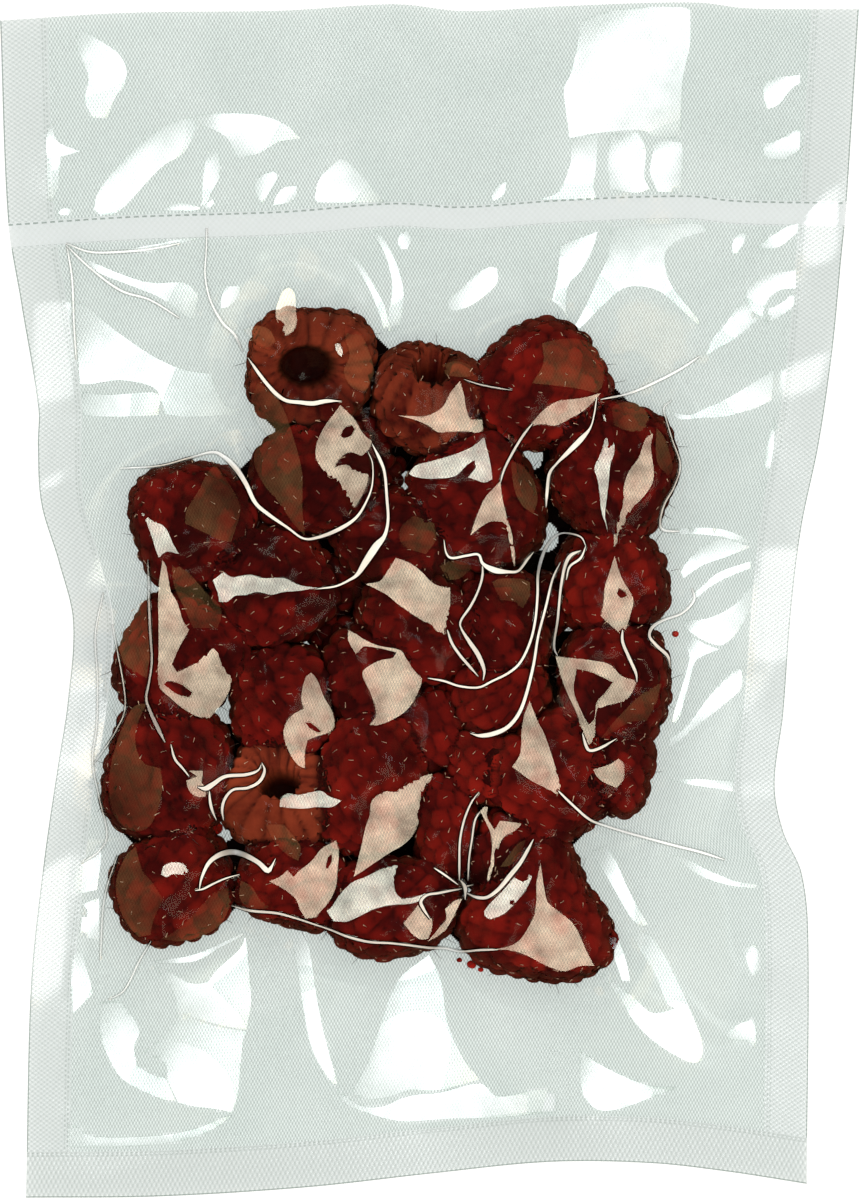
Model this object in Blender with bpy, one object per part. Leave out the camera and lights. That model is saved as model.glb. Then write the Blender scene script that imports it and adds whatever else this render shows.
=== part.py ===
"""A vacuum seal bag of soft fruit, lying flat with its front film up.

The bag is two films welded along both sides and across the foot. The fruit went in at the open
mouth, and a heat seal closed the bag below it, so the flap above the seal is two loose films.
The pump drew both films tight over the fruit, which gathered them in from the sides.

It is one closed solid: the flat film all round it, and the fruit's own uneven hill in the middle,
which bulges above and below the line where the two films meet.

Metres, +Z up, +Y towards the bag's mouth. The origin is under the middle of the bag.
"""

import math

import bmesh
import bpy
from mathutils import Vector

# The bag, laid out flat.
BAG_WIDTH = 0.150
BAG_LENGTH = 0.2088
FILM_THICK = 0.0008  # both films and the air between them, where they lie flat
LOWEST_MIDDLE = 0.5 * FILM_THICK  # the film's middle, where it lies on the table

# The grid that the solid is built on, across the bag and along it.
CELLS_ACROSS = 42
CELLS_ALONG = 56

# How the fruit holds the film up, and how hard the air presses it down.
MEETING_HEIGHT = 0.0046  # where the front and back films meet, close to the fruit
FALL_AWAY = 0.016  # how far from the fruit the film has sunk by two thirds
AIR_PRESS = 0.00055  # how far each pass of the air presses a point of free film
DRAW_PASSES = 36  # passes of tension and air
FRUIT_SAG = 0.0012  # how far the fruit's weight has flattened its underside on the table

# The side edges, from the foot (0) to the mouth (1): share of the length, and how far out in X.
# They are drawn in beside the fruit, because the film there was gathered over it.
LEFT_EDGE = [
    (0.00, -0.0705), (0.18, -0.0696), (0.29, -0.0672), (0.37, -0.0648), (0.42, -0.0632),
    (0.49, -0.0622), (0.54, -0.0647), (0.59, -0.0678), (0.64, -0.0684), (0.67, -0.0683),
    (0.76, -0.0713), (0.83, -0.0736), (1.00, -0.0750),
]
RIGHT_EDGE = [
    (0.00, 0.0659), (0.21, 0.0662), (0.265, 0.0650), (0.30, 0.0618), (0.34, 0.0603),
    (0.40, 0.0618), (0.49, 0.0632), (0.56, 0.0650), (0.63, 0.0680), (0.71, 0.0704),
    (0.79, 0.0720), (0.83, 0.0728), (1.00, 0.0750),
]

# The foot and the mouth, from the left (0) to the right (1): share of the width, and Y.
FOOT_EDGE = [
    (0.00, -0.1044), (0.17, -0.1042), (0.36, -0.1026), (0.52, -0.1002), (0.67, -0.0982),
    (0.80, -0.0984), (0.90, -0.0999), (1.00, -0.1020),
]
MOUTH_EDGE = [
    (0.00, 0.1012), (0.15, 0.1026), (0.33, 0.1030), (0.46, 0.1041), (0.54, 0.1029),
    (0.65, 0.1037), (0.81, 0.1044), (0.87, 0.1034), (1.00, 0.1032),
]

# Each berry: the middle in X and Y, half its length, half its width, half its height, and which
# way its length points, in degrees from +X. Lengths are in millimetres.
BERRIES = [
    (-21.6, 40.9, 11.0, 10.0, 8.2, 0),
    (-19.5, 21.4, 11.2, 10.0, 8.4, 10),
    (0.1, 34.7, 9.6, 9.4, 7.8, 80),
    (20.2, 36.8, 11.2, 10.9, 8.4, 25),
    (7.9, 16.8, 12.0, 11.2, 8.6, -60),
    (31.7, 22.8, 12.0, 10.9, 8.4, 80),
    (32.2, 3.1, 9.5, 9.3, 7.8, 0),
    (-41.8, 13.5, 10.9, 10.5, 8.2, 30),
    (-27.3, 2.4, 10.9, 10.4, 8.2, 20),
    (-6.2, 10.5, 10.4, 8.6, 8.2, -30),
    (-1.8, -3.6, 11.6, 9.0, 8.6, -40),
    (12.8, -3.8, 10.5, 7.9, 7.6, 95),
    (5.6, 3.6, 5.0, 4.6, 5.6, 0),
    (-43.9, -9.5, 11.2, 10.8, 8.4, 60),
    (-25.6, -17.4, 9.9, 9.4, 8.0, 90),
    (-25.8, -33.4, 10.1, 9.9, 7.6, 0),
    (-10.0, -13.4, 9.2, 9.0, 7.8, 0),
    (-10.7, -32.2, 12.8, 9.9, 8.6, 80),
    (-46.0, -29.2, 12.0, 11.2, 8.4, 75),
    (-45.0, -50.4, 10.5, 9.9, 8.0, 20),
    (-24.4, -48.8, 9.6, 8.0, 7.6, -10),
    (-5.8, -52.8, 11.8, 8.8, 7.8, 8),
    (1.0, -22.3, 8.4, 6.3, 6.6, 95),
    (12.4, -16.5, 9.2, 7.6, 7.8, 10),
    (21.7, -30.2, 11.5, 11.1, 8.6, -50),
    (9.4, -28.8, 7.3, 6.4, 7.4, 90),
    (32.0, -13.9, 10.9, 9.8, 8.2, 80),
    (33.0, -30.4, 7.8, 6.2, 7.0, 80),
    (3.2, -39.8, 10.1, 5.4, 7.2, 95),
    (12.4, -43.2, 8.4, 6.1, 6.8, 70),
    (18.6, -54.8, 12.4, 11.6, 8.4, -50),
]

# The film's own swells, away from the fruit: middle in X and Y, half width, half length, which way
# the length points, and height. Lengths are in millimetres.
SWELLS = [
    (-64, -6, 6, 26, 88, 4.6),
    (61, -24, 6, 22, 92, 5.0),
    (64, 18, 6, 14, 80, 2.4),
    (-66, 36, 6, 14, 100, 2.2),
    (-26, -80, 7, 20, 72, 2.4),
    (10, -82, 7, 22, 84, 2.6),
    (42, -72, 7, 22, 118, 3.0),
    (-52, -78, 7, 18, 96, 2.0),
    (-48, 52, 8, 16, 150, 2.2),
    (38, 58, 8, 16, 68, 2.4),
    (-30, 84, 9, 20, 40, 2.0),
    (34, 86, 9, 18, 90, 2.4),
    (0, 90, 8, 14, 110, 1.6),
    (68, 96, 7, 12, 90, 1.6),
    (-70, 92, 7, 14, 80, 1.4),
]

FILM_COLOUR = (0.78, 0.84, 0.80, 1.0)


def remove_old_objects():
    for old in list(bpy.data.objects):
        bpy.data.objects.remove(old)


def curve_through(points, share):
    """The height at share of a smooth line through points, which rounds over and doesn't overshoot."""
    share = min(max(share, points[0][0]), points[-1][0])
    for k in range(len(points) - 1):
        if share <= points[k + 1][0]:
            break
    (a, va), (b, vb) = points[k], points[k + 1]
    before = points[max(k - 1, 0)]
    after = points[min(k + 2, len(points) - 1)]
    slope_a = (vb - before[1]) / (b - before[0])
    slope_b = (after[1] - va) / (after[0] - a)
    u = (share - a) / (b - a)
    rise = (b - a) * (slope_a * u * (1 - u) ** 2 - slope_b * u**2 * (1 - u))
    return va + (vb - va) * u * u * (3 - 2 * u) + rise


def plan(across, along):
    """Where a point of the flat bag lies in X and Y once the fruit has drawn the film in."""
    left = curve_through(LEFT_EDGE, along)
    right = curve_through(RIGHT_EDGE, along)
    foot = curve_through(FOOT_EDGE, across)
    mouth = curve_through(MOUTH_EDGE, across)
    return left + (right - left) * across, foot + (mouth - foot) * along


def turned(x, y, middle_x, middle_y, degrees):
    """x and y seen from a middle, along and across a direction."""
    c, s = math.cos(math.radians(degrees)), math.sin(math.radians(degrees))
    dx, dy = x - middle_x, y - middle_y
    return dx * c + dy * s, dy * c - dx * s


def berry_span(x, y):
    """The lowest underside and the highest top of the fruit over a point, or None beside the fruit."""
    found = None
    for bx, by, half_length, half_width, half_height, degrees in BERRIES:
        u, v = turned(x * 1000, y * 1000, bx, by, degrees)
        inside = 1 - (u / half_length) ** 2 - (v / half_width) ** 2
        if inside <= 0:
            continue
        rise = half_height * math.sqrt(inside) / 1000
        middle = half_height / 1000
        low, high = found or (middle, middle)
        found = (min(low, max(middle - rise - FRUIT_SAG, 0)), max(high, middle + rise))
    return found


def gap_to_fruit(x, y):
    """About how far a point is from the nearest berry, in metres."""
    nearest = math.inf
    for bx, by, half_length, half_width, _, degrees in BERRIES:
        u, v = turned(x * 1000, y * 1000, bx, by, degrees)
        ratio = math.hypot(u / half_length, v / half_width)
        nearest = min(nearest, (ratio - 1) * 0.5 * (half_length + half_width))
    return max(nearest, 0) / 1000


def film_middle(x, y):
    """The height of the two films where they lie on each other."""
    height = MEETING_HEIGHT * math.exp(-((gap_to_fruit(x, y) / FALL_AWAY) ** 1.5))
    for sx, sy, half_width, half_length, degrees, rise in SWELLS:
        u, v = turned(x * 1000, y * 1000, sx, sy, degrees)
        height += rise / 1000 * math.exp(-((u / half_length) ** 2) - (v / half_width) ** 2)
    return max(height, LOWEST_MIDDLE)


def drawn_tight(start, limit, press, upper):
    """Film heights after tension and air have drawn them onto limit, from above if upper is true."""
    heights = dict(start)
    stop = max if upper else min
    for _ in range(DRAW_PASSES):
        before = dict(heights)
        for i in range(1, CELLS_ACROSS):
            for j in range(1, CELLS_ALONG):
                around = before[i - 1, j] + before[i + 1, j] + before[i, j - 1] + before[i, j + 1]
                heights[i, j] = stop(limit[i, j], around / 4 + press)
    return heights


def film_heights():
    """The plan, the front film's height and the back film's height at each crossing of the grid."""
    places, front_limit, back_limit = {}, {}, {}
    for i in range(CELLS_ACROSS + 1):
        for j in range(CELLS_ALONG + 1):
            x, y = plan(i / CELLS_ACROSS, j / CELLS_ALONG)
            middle = film_middle(x, y)
            span = berry_span(x, y)
            places[i, j] = (x, y)
            front_limit[i, j] = middle + 0.5 * FILM_THICK
            back_limit[i, j] = middle - 0.5 * FILM_THICK
            if span:
                front_limit[i, j] = max(front_limit[i, j], span[1])
                back_limit[i, j] = min(back_limit[i, j], span[0])
    front = drawn_tight(front_limit, front_limit, -AIR_PRESS, upper=True)
    back = drawn_tight(back_limit, back_limit, AIR_PRESS, upper=False)
    return places, front, {key: max(height, 0) for key, height in back.items()}


def build_bag():
    """The bag: a grid, extruded into a slab, whose two faces are moved to the film's heights."""
    places, front, back = film_heights()
    shape = bmesh.new()
    bmesh.ops.create_grid(shape, x_segments=CELLS_ACROSS, y_segments=CELLS_ALONG, size=0.5)
    lower = set(shape.verts)
    bmesh.ops.extrude_face_region(shape, geom=list(shape.faces))
    for point in shape.verts:
        i = round((point.co.x + 0.5) * CELLS_ACROSS)
        j = round((point.co.y + 0.5) * CELLS_ALONG)
        height = back[i, j] if point in lower else front[i, j]
        point.co = Vector((*places[i, j], height))
    bmesh.ops.recalc_face_normals(shape, faces=list(shape.faces))
    mesh = bpy.data.meshes.new("sealed_bag")
    shape.to_mesh(mesh)
    shape.free()
    bag = bpy.data.objects.new("sealed_bag", mesh)
    for face in mesh.polygons:
        face.use_smooth = True
    return bag


def film_material():
    """Clear film with a faint green cast, as it looks over a pale surface."""
    material = bpy.data.materials.new("clear_film")
    material.use_nodes = True
    shader = material.node_tree.nodes["Principled BSDF"]
    shader.inputs["Base Color"].default_value = FILM_COLOUR
    shader.inputs["Roughness"].default_value = 0.12
    shader.inputs["Metallic"].default_value = 0.0
    return material


def main():
    remove_old_objects()
    parts = bpy.data.collections.new("vacuum_seal_bag")
    bpy.context.scene.collection.children.link(parts)
    bag = build_bag()
    bag.data.materials.append(film_material())
    parts.objects.link(bag)


main()
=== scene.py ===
import math

import bpy
import numpy as np
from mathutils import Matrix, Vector, geometry


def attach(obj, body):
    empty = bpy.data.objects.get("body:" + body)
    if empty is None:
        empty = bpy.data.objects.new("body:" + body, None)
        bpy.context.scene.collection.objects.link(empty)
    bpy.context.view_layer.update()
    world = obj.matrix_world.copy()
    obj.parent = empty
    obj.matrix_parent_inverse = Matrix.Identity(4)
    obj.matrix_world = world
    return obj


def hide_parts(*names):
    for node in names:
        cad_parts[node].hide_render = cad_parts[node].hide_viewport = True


# A vacuum seal bag of soft red fruit, lying flat with its front film up. The fruit comes first,
# then the film that was drawn tight over it, then the welds and the heat seal that close the bag.
# Lengths in the lists are in millimetres; meshes are in metres.
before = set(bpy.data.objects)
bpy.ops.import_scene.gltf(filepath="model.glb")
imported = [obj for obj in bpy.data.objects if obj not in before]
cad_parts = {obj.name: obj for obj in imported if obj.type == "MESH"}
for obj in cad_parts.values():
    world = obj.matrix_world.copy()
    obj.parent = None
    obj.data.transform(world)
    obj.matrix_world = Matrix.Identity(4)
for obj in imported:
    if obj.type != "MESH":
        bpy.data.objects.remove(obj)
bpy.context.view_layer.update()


# --------------------------------------
# The whole berries. Soft red fruit, each a hill of small juicy beads set in rings round its core.
# They lie one deep on the back film, pushed together and pressed flat by the film above them.
# --------------------------------------
MM = 0.001

# Middle in X and Y, half length, half width, half height, way the length points in degrees,
# how red it is from 0, dark, to 1, bright, and what it is.
BERRIES = [
    (-21.6, 40.9, 11.0, 10.0, 8.2, 0, 0.60, "open"),
    (-19.5, 21.4, 11.2, 10.0, 8.4, 10, 0.15, "ripe"),
    (0.1, 34.7, 9.6, 9.4, 7.8, 80, 0.20, "open"),
    (20.2, 36.8, 11.2, 10.9, 8.4, 25, 0.62, "red"),
    (7.9, 16.8, 12.0, 11.2, 8.6, -60, 0.30, "ripe"),
    (31.7, 22.8, 12.0, 10.9, 8.4, 80, 0.25, "ripe"),
    (32.2, 3.1, 9.5, 9.3, 7.8, 0, 0.40, "red"),
    (-41.8, 13.5, 10.9, 10.5, 8.2, 30, 0.30, "ripe"),
    (-27.3, 2.4, 10.9, 10.4, 8.2, 20, 0.22, "ripe"),
    (-6.2, 10.5, 10.4, 8.6, 8.2, -30, 0.12, "ripe"),
    (-1.8, -3.6, 11.6, 9.0, 8.6, -40, 0.28, "ripe"),
    (12.8, -3.8, 10.5, 7.9, 7.6, 95, 0.30, "ripe"),
    (5.6, 3.6, 5.0, 4.6, 5.6, 0, 0.20, "ripe"),
    (-43.9, -9.5, 11.2, 10.8, 8.4, 60, 0.25, "ripe"),
    (-25.6, -17.4, 9.9, 9.4, 8.0, 90, 0.35, "ripe"),
    (-25.8, -33.4, 10.1, 9.9, 7.6, 0, 0.75, "open"),
    (-10.0, -13.4, 9.2, 9.0, 7.8, 0, 0.25, "ripe"),
    (-10.7, -32.2, 12.8, 9.9, 8.6, 80, 0.40, "red"),
    (-46.0, -29.2, 12.0, 11.2, 8.4, 75, 0.30, "ripe"),
    (-45.0, -50.4, 10.5, 9.9, 8.0, 20, 0.38, "red"),
    (-24.4, -48.8, 9.6, 8.0, 7.6, -10, 0.40, "red"),
    (-5.8, -52.8, 11.8, 8.8, 7.8, 8, 0.30, "ripe"),
    (1.0, -22.3, 8.4, 6.3, 6.6, 95, 0.35, "red"),
    (12.4, -16.5, 9.2, 7.6, 7.8, 10, 0.60, "red"),
    (21.7, -30.2, 11.5, 11.1, 8.6, -50, 0.50, "red"),
    (9.4, -28.8, 7.3, 6.4, 7.4, 90, 0.95, "red"),
    (32.0, -13.9, 10.9, 9.8, 8.2, 80, 0.25, "ripe"),
    (33.0, -30.4, 7.8, 6.2, 7.0, 80, 0.25, "ripe"),
    (3.2, -39.8, 10.1, 5.4, 7.2, 95, 0.40, "red"),
    (12.4, -43.2, 8.4, 6.1, 6.8, 70, 0.30, "ripe"),
    (18.6, -54.8, 12.4, 11.6, 8.4, -50, 0.55, "red"),
    (-15.2, 2.6, 5.2, 5.0, 5.2, 20, 0.05, "ripe"),
    (-10.4, 28.6, 4.6, 4.2, 4.6, 0, 0.05, "ripe"),
    (20.6, -0.5, 4.2, 5.4, 5.0, 0, 0.05, "ripe"),
    (-8.6, 22.6, 3.8, 3.2, 4.2, 0, 0.05, "ripe"),
    (-17.0, -6.2, 4.4, 4.0, 4.6, 0, 0.05, "ripe"),
    (-35.0, -1.5, 4.0, 4.0, 4.6, 0, 0.05, "ripe"),
]

BALL_CELLS = 26  # along each side of the cube that a berry's skin is blown up from
FULLNESS = 2.5  # 2 is a plain egg, and more has fuller shoulders
SPREAD_LOW = 1.04  # how much wider the weight of air has pressed a berry's lower half
SETTLED = 0.3  # how far berries have sunk into the film under them
FLOOR_OF_FRUIT = 0.35
BEAD_SPACING = 3.4
BEAD_STRAYS = 0.045  # how far a bead strays from its place in the rings
BEAD_RISE = 1.4
SKIN_UNEVEN = 0.05  # share of a berry's size by which its outline wanders
SIDE_SHADING = 0.95  # how strongly painted shading browns a berry's skin where it stands upright
SIDE_SHADING_BROWN = (0.085, 0.026, 0.013, 1.0)
TOUCH_DARK = 1.7  # within this of the next berry, skin is dark with shade and juice
# How far a berry's outline strays from an oval, for each number of lobes round it.
LOBES = {1: 0.07, 2: 0.03, 3: 0.045, 4: 0.025}
THREE_SIDED = {30: (0.15, 84)}  # berries pressed into a triangle: how far, and where a corner is


def grid_faces(shape, start=0):
    """The square faces between the places of a grid, whose places are counted from start."""
    index = np.arange(shape[0] * shape[1]).reshape(shape) + start
    square = np.stack([index[:-1, :-1], index[1:, :-1], index[1:, 1:], index[:-1, 1:]], -1)
    return square.reshape(-1, 4)


def ball_skin(cells):
    """Directions all round a ball and the faces between them, from the six sides of a cube."""
    side = np.tan(np.linspace(-math.pi / 4, math.pi / 4, cells + 1))
    u, v = np.meshgrid(side, side, indexing="ij")
    one = np.ones_like(u)
    sides = [(one, u, v), (-one, v, u), (v, one, u), (u, -one, v), (u, v, one), (v, u, -one)]
    points = np.concatenate([np.stack(s, -1).reshape(-1, 3) for s in sides])
    points /= np.linalg.norm(points, axis=1)[:, None]
    faces = np.concatenate([grid_faces(u.shape, k * u.size) for k in range(6)])
    _, first, where = np.unique(np.round(points * 1e5).astype(np.int64), axis=0,
                                return_index=True, return_inverse=True)
    return points[first], where.reshape(-1)[faces]


BALL, BALL_FACES = ball_skin(BALL_CELLS)


def beads_round(axis, count):
    """Directions of the beads of a berry, in even rings round its core."""
    k = np.arange(count) + 0.5
    along = 1 - 2 * k / count
    turn = math.pi * (1 + math.sqrt(5)) * k
    out = np.sqrt(1 - along**2)
    axis = axis / np.linalg.norm(axis)
    side = np.cross(axis, (0.31, 0.17, 0.94))
    side /= np.linalg.norm(side)
    third = np.cross(axis, side)
    return (along[:, None] * axis + (out * np.cos(turn))[:, None] * side
            + (out * np.sin(turn))[:, None] * third)


def wander(ways, rng, bumps=6):
    """A slow rise and fall over a ball, from -1 to 1."""
    total = np.zeros(len(ways))
    for _ in range(bumps):
        way = rng.normal(size=3) * 1.7
        total += np.sin(ways @ way + rng.uniform(0, 6.28))
    return total / bumps * 1.6


def laid_down(local, berry):
    """Points of a berry in its own axes, turned and moved to where it lies."""
    x, y, _, _, half_height, degrees = berry[:6]
    c, s = math.cos(math.radians(degrees)), math.sin(math.radians(degrees))
    return np.stack([x + local[:, 0] * c - local[:, 1] * s,
                     y + local[:, 0] * s + local[:, 1] * c,
                     half_height - SETTLED + local[:, 2]], -1)


def in_berry(x, y, berry):
    """A place in a berry's own axes, in half lengths and half widths from its middle."""
    bx, by, half_length, half_width, _, degrees = berry[:6]
    c, s = math.cos(math.radians(degrees)), math.sin(math.radians(degrees))
    return ((x - bx) * c + (y - by) * s) / half_length, ((y - by) * c - (x - bx) * s) / half_width


def round_axis(axis):
    """For each direction of a berry's skin, how far off an axis it is and how far round it."""
    axis = axis / np.linalg.norm(axis)
    side = np.cross(axis, (0.3, 0.9, 0.1))
    side /= np.linalg.norm(side)
    turn = np.arctan2(BALL @ np.cross(axis, side), BALL @ side)
    return np.degrees(np.arccos(np.clip(BALL @ axis, -1, 1))), turn % (2 * math.pi)


def lobed(ways, berry, rng):
    """How much further out than its oval a berry goes, for each direction."""
    number = BERRIES.index(berry)
    round_it = np.arctan2(ways[:, 1] * berry[3], ways[:, 0] * berry[2]) + math.radians(berry[5])
    further = np.zeros(len(ways))
    for lobes, amount in LOBES.items():
        further += amount * rng.uniform(0.4, 1) * np.cos(lobes * round_it + rng.uniform(0, 6.28))
    if number in THREE_SIDED:
        amount, corner = THREE_SIDED[number]
        further = amount * np.cos(3 * (round_it - math.radians(corner)))
    return 1 + further * np.sqrt(np.maximum(1 - ways[:, 2] ** 2, 0))


def berry_shape(berry, axis, rng, petals=None):
    """Points of one berry's skin, how red each one's bead is and how deep in a crease it is, and
    the middles of its beads.

    petals is (how far from the axis they reach, in degrees, and how many), for a hollow berry."""
    half = np.array(berry[2:5])
    ways = BALL
    lobe_seed = int(rng.integers(1 << 30))
    spread = 1 + SKIN_UNEVEN * wander(ways, rng)
    spread = spread * lobed(ways, berry, np.random.default_rng(lobe_seed))
    spread = spread[:, None] * np.where(ways[:, 2:] < 0.1, [SPREAD_LOW, SPREAD_LOW, 1.0], 1.0)
    fuller = (np.abs(ways) ** FULLNESS).sum(1) ** (-1 / FULLNESS)
    bare = ways * fuller[:, None] * half * spread
    area = 4 * math.pi * (half[0] * half[1] + half[0] * half[2] + half[1] * half[2]) / 3
    count = int(area / (0.87 * BEAD_SPACING**2))
    centres = beads_round(axis, count)
    centres += rng.normal(size=centres.shape) * BEAD_STRAYS
    centres /= np.linalg.norm(centres, axis=1)[:, None]
    full = (np.abs(centres) ** FULLNESS).sum(1) ** (-1 / FULLNESS)
    far_out = lobed(centres, berry, np.random.default_rng(lobe_seed))
    middle = centres * (full * far_out)[:, None] * half
    gaps = np.sqrt(((bare[:, None, :] - middle[None, :, :]) ** 2).sum(-1))
    nearest = np.argpartition(gaps, 1, axis=1)[:, :2]
    two = np.take_along_axis(gaps, nearest, 1)
    order = two.argsort(1)
    two = np.take_along_axis(two, order, 1)
    bead = np.take_along_axis(nearest, order, 1)[:, 0]
    into = np.clip((two[:, 1] - two[:, 0]) / (0.85 * BEAD_SPACING), 0, 1)
    dome = np.sqrt(into * (2 - into))
    size = rng.uniform(0.75, 1.15, count)[bead]
    tone = rng.uniform(0, 1, count)[bead]
    if petals:
        reach, many = petals
        off, turn = round_axis(axis)
        place = turn / (2 * math.pi) * many + 0.35 * np.sin(2 * turn)
        into = 1 - np.abs(place - np.floor(place) - 0.5) * 2
        petal = np.sqrt(np.clip(into * (2 - into), 0, 1))
        on = np.clip((reach - off) / 5, 0, 1)
        dome = dome * (1 - on) + petal * on
        size = size * (1 - on) + on
        tone = np.where(on > 0.5, rng.uniform(0.3, 1, many + 2)[np.floor(place).astype(int)], tone)
    out = bare / half**2
    out /= np.linalg.norm(out, axis=1)[:, None]
    skin = bare + out * (BEAD_RISE * (dome * size - 0.75))[:, None]
    return skin, tone, 1 - dome, middle


def skin_colours(mesh, tone, crease, redness):
    """Keeps each point's own redness, crease and berry tone for the skin's material."""
    paint = mesh.attributes.new("skin", "FLOAT_COLOR", "POINT")
    values = np.stack([tone, crease, redness, np.ones_like(tone)], -1).astype(np.float32)
    paint.data.foreach_set("color", values.ravel())


def make_mesh(name, points, *faces):
    """A smooth mesh in the scene, from points in millimetres and arrays of faces."""
    mesh = bpy.data.meshes.new(name)
    mesh.from_pydata((points * MM).tolist(), [], [face for part in faces for face in part.tolist()])
    mesh.shade_smooth()
    mesh.validate()
    made = bpy.data.objects.new(name, mesh)
    bpy.context.scene.collection.objects.link(made)
    return made


def blank_material(name):
    """A material, its empty node tree and where its shader goes in."""
    material = bpy.data.materials.new(name)
    material.use_nodes = True
    tree = material.node_tree
    tree.nodes.clear()
    return material, tree, tree.nodes.new("ShaderNodeOutputMaterial").inputs["Surface"]


def add_node(tree, kind, settings=None, **inputs):
    """A node with settings, and inputs given as values or as another node's output."""
    node = tree.nodes.new("ShaderNode" + kind)
    for key, value in (settings or {}).items():
        setattr(node, key, value)
    for key, value in inputs.items():
        by_place = key[0] == "i" and key[1:].isdigit()
        socket = node.inputs[int(key[1:]) if by_place else key.replace("_", " ")]
        if isinstance(value, bpy.types.NodeSocket):
            tree.links.new(value, socket)
        else:
            socket.default_value = value
    return node


def maths(tree, operation, a, b=0.0, c=0.0, clamp=False):
    """The outcome of a sum on values, each a number or another node's output."""
    node = add_node(tree, "Math", {"operation": operation, "use_clamp": clamp}, i0=a, i1=b, i2=c)
    return node.outputs[0]


def noise(tree, scale, detail, **more):
    """Soft noise all over a piece, from 0 to 1."""
    place = add_node(tree, "TexCoord").outputs["Object"]
    return add_node(tree, "TexNoise", Vector=place, Scale=scale, Detail=detail, **more).outputs[0]


def blend_colours(tree, share, first, second, kind="MIX"):
    """Two colours blended by a share, each a colour or another node's output."""
    node = tree.nodes.new("ShaderNodeMix")
    node.data_type = "RGBA"
    node.blend_type = kind
    for key, value in ((0, share), (6, first), (7, second)):
        if isinstance(value, bpy.types.NodeSocket):
            tree.links.new(value, node.inputs[key])
        else:
            node.inputs[key].default_value = value
    return node.outputs[2]


def berry_material(name, dark, bright, crease_shade_colour):
    """Wet berry skin: each bead its own red, mottled all over, with painted shade near black in the creases
    and painted shading that browns it where it stands upright.
    """
    material, tree, surface = blank_material(name)
    skin = add_node(tree, "Attribute", {"attribute_name": "skin"})
    tone, crease, redness = add_node(tree, "SeparateColor", Color=skin.outputs["Color"]).outputs
    mottle = noise(tree, 900.0, 4.0, Roughness=0.6)
    blotch = noise(tree, 140.0, 2.0)
    share = -1.05
    for value, amount in ((tone, 0.6), (redness, 0.55), (mottle, 0.5), (blotch, 1.3)):
        share = maths(tree, "MULTIPLY_ADD", value, amount, share)
    flesh = blend_colours(tree, share, dark, bright)
    # Painted shading: the skin is blended towards a dull brown by how far its surface turns from facing up,
    # not by any lamp.
    normal = add_node(tree, "NewGeometry").outputs["Normal"]
    upward = add_node(tree, "SeparateXYZ", Vector=normal).outputs[2]
    aslant = maths(tree, "SUBTRACT", 1.0, upward, clamp=True)
    aslant = maths(tree, "MULTIPLY", maths(tree, "POWER", aslant, 2.0), SIDE_SHADING, clamp=True)
    flesh = blend_colours(tree, aslant, flesh, SIDE_SHADING_BROWN)
    # Painted shade: the crease share blends the skin towards near black in creases, where berries touch and
    # down the cups.
    hollow = maths(tree, "POWER", crease, 1.25, clamp=True)
    flesh = blend_colours(tree, maths(tree, "MULTIPLY", hollow, 0.94), flesh, crease_shade_colour)
    bump = add_node(tree, "Bump", Strength=0.25, Distance=0.0002, Height=mottle)
    rough = maths(tree, "MULTIPLY_ADD", mottle, 0.2, 0.42)
    shader = add_node(tree, "BsdfPrincipled", Base_Color=flesh, Roughness=rough, IOR=1.36,
                      Specular_IOR_Level=0.05, Normal=bump.outputs[0])
    tree.links.new(shader.outputs[0], surface)
    return material


def close_to_next(skin, number):
    """For each place of a berry's skin, 1 where it touches another berry, and 0 well away."""
    close = np.zeros(len(skin))
    for other, berry in enumerate(BERRIES):
        if other == number:
            continue
        u, v = in_berry(skin[:, 0], skin[:, 1], berry)
        w = (skin[:, 2] - berry[4] + SETTLED) / berry[4]
        apart = (np.sqrt(u * u + v * v + w * w) - SPREAD_LOW) * berry[3]
        close = np.maximum(close, np.clip(1 - apart / TOUCH_DARK, 0, 1))
    return close


fruit_skins = []  # each berry's skin as it lies, which the film is then drawn over
bead_places = {}  # the middles of each berry's beads, for the hairs


def gather(name, kind, shaper, material):
    """All berries of one kind, each laid down in its place, joined in one piece."""
    skins, tones, creases, reds = [], [], [], []
    for number, berry in enumerate(BERRIES):
        if berry[7] != kind:
            continue
        rng = np.random.default_rng(500 + number)
        skin, tone, crease, bead_places[number] = shaper(number, berry, rng)
        skin = laid_down(skin, berry)
        skin[:, 2] = np.maximum(skin[:, 2], FLOOR_OF_FRUIT)
        skins.append(skin)
        tones.append(tone)
        creases.append(np.maximum(crease, close_to_next(skin, number)))
        reds.append(np.full(len(skin), berry[6]))
    fruit_skins.extend(skins)
    faces = [BALL_FACES + k * len(BALL) for k in range(len(skins))]
    piece = make_mesh(name, np.concatenate(skins), np.concatenate(faces))
    skin_colours(piece.data, np.concatenate(tones), np.concatenate(creases), np.concatenate(reds))
    piece.data.materials.append(material)
    return piece


def whole_berry(number, berry, rng):
    """A whole berry, its core lying along its length."""
    axis = np.array([1.0, rng.uniform(-0.3, 0.3), rng.uniform(-0.3, 0.4)])
    return berry_shape(berry, axis, rng)


# The last colour of each skin is the painted shade in its creases.
ripe_skin = berry_material("ripe_berry_skin", (0.030, 0.0006, 0.0005, 1),
                           (0.155, 0.0050, 0.0028, 1), (0.010, 0.0004, 0.0004, 1))
red_skin = berry_material("red_berry_skin", (0.038, 0.0008, 0.0007, 1),
                          (0.178, 0.0062, 0.0031, 1), (0.014, 0.0005, 0.0005, 1))
ripe_berries = gather("ripe_berries", "ripe", whole_berry, ripe_skin)
red_berries = gather("red_berries", "red", whole_berry, red_skin)
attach(ripe_berries, "root")
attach(red_berries, "root")


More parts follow.
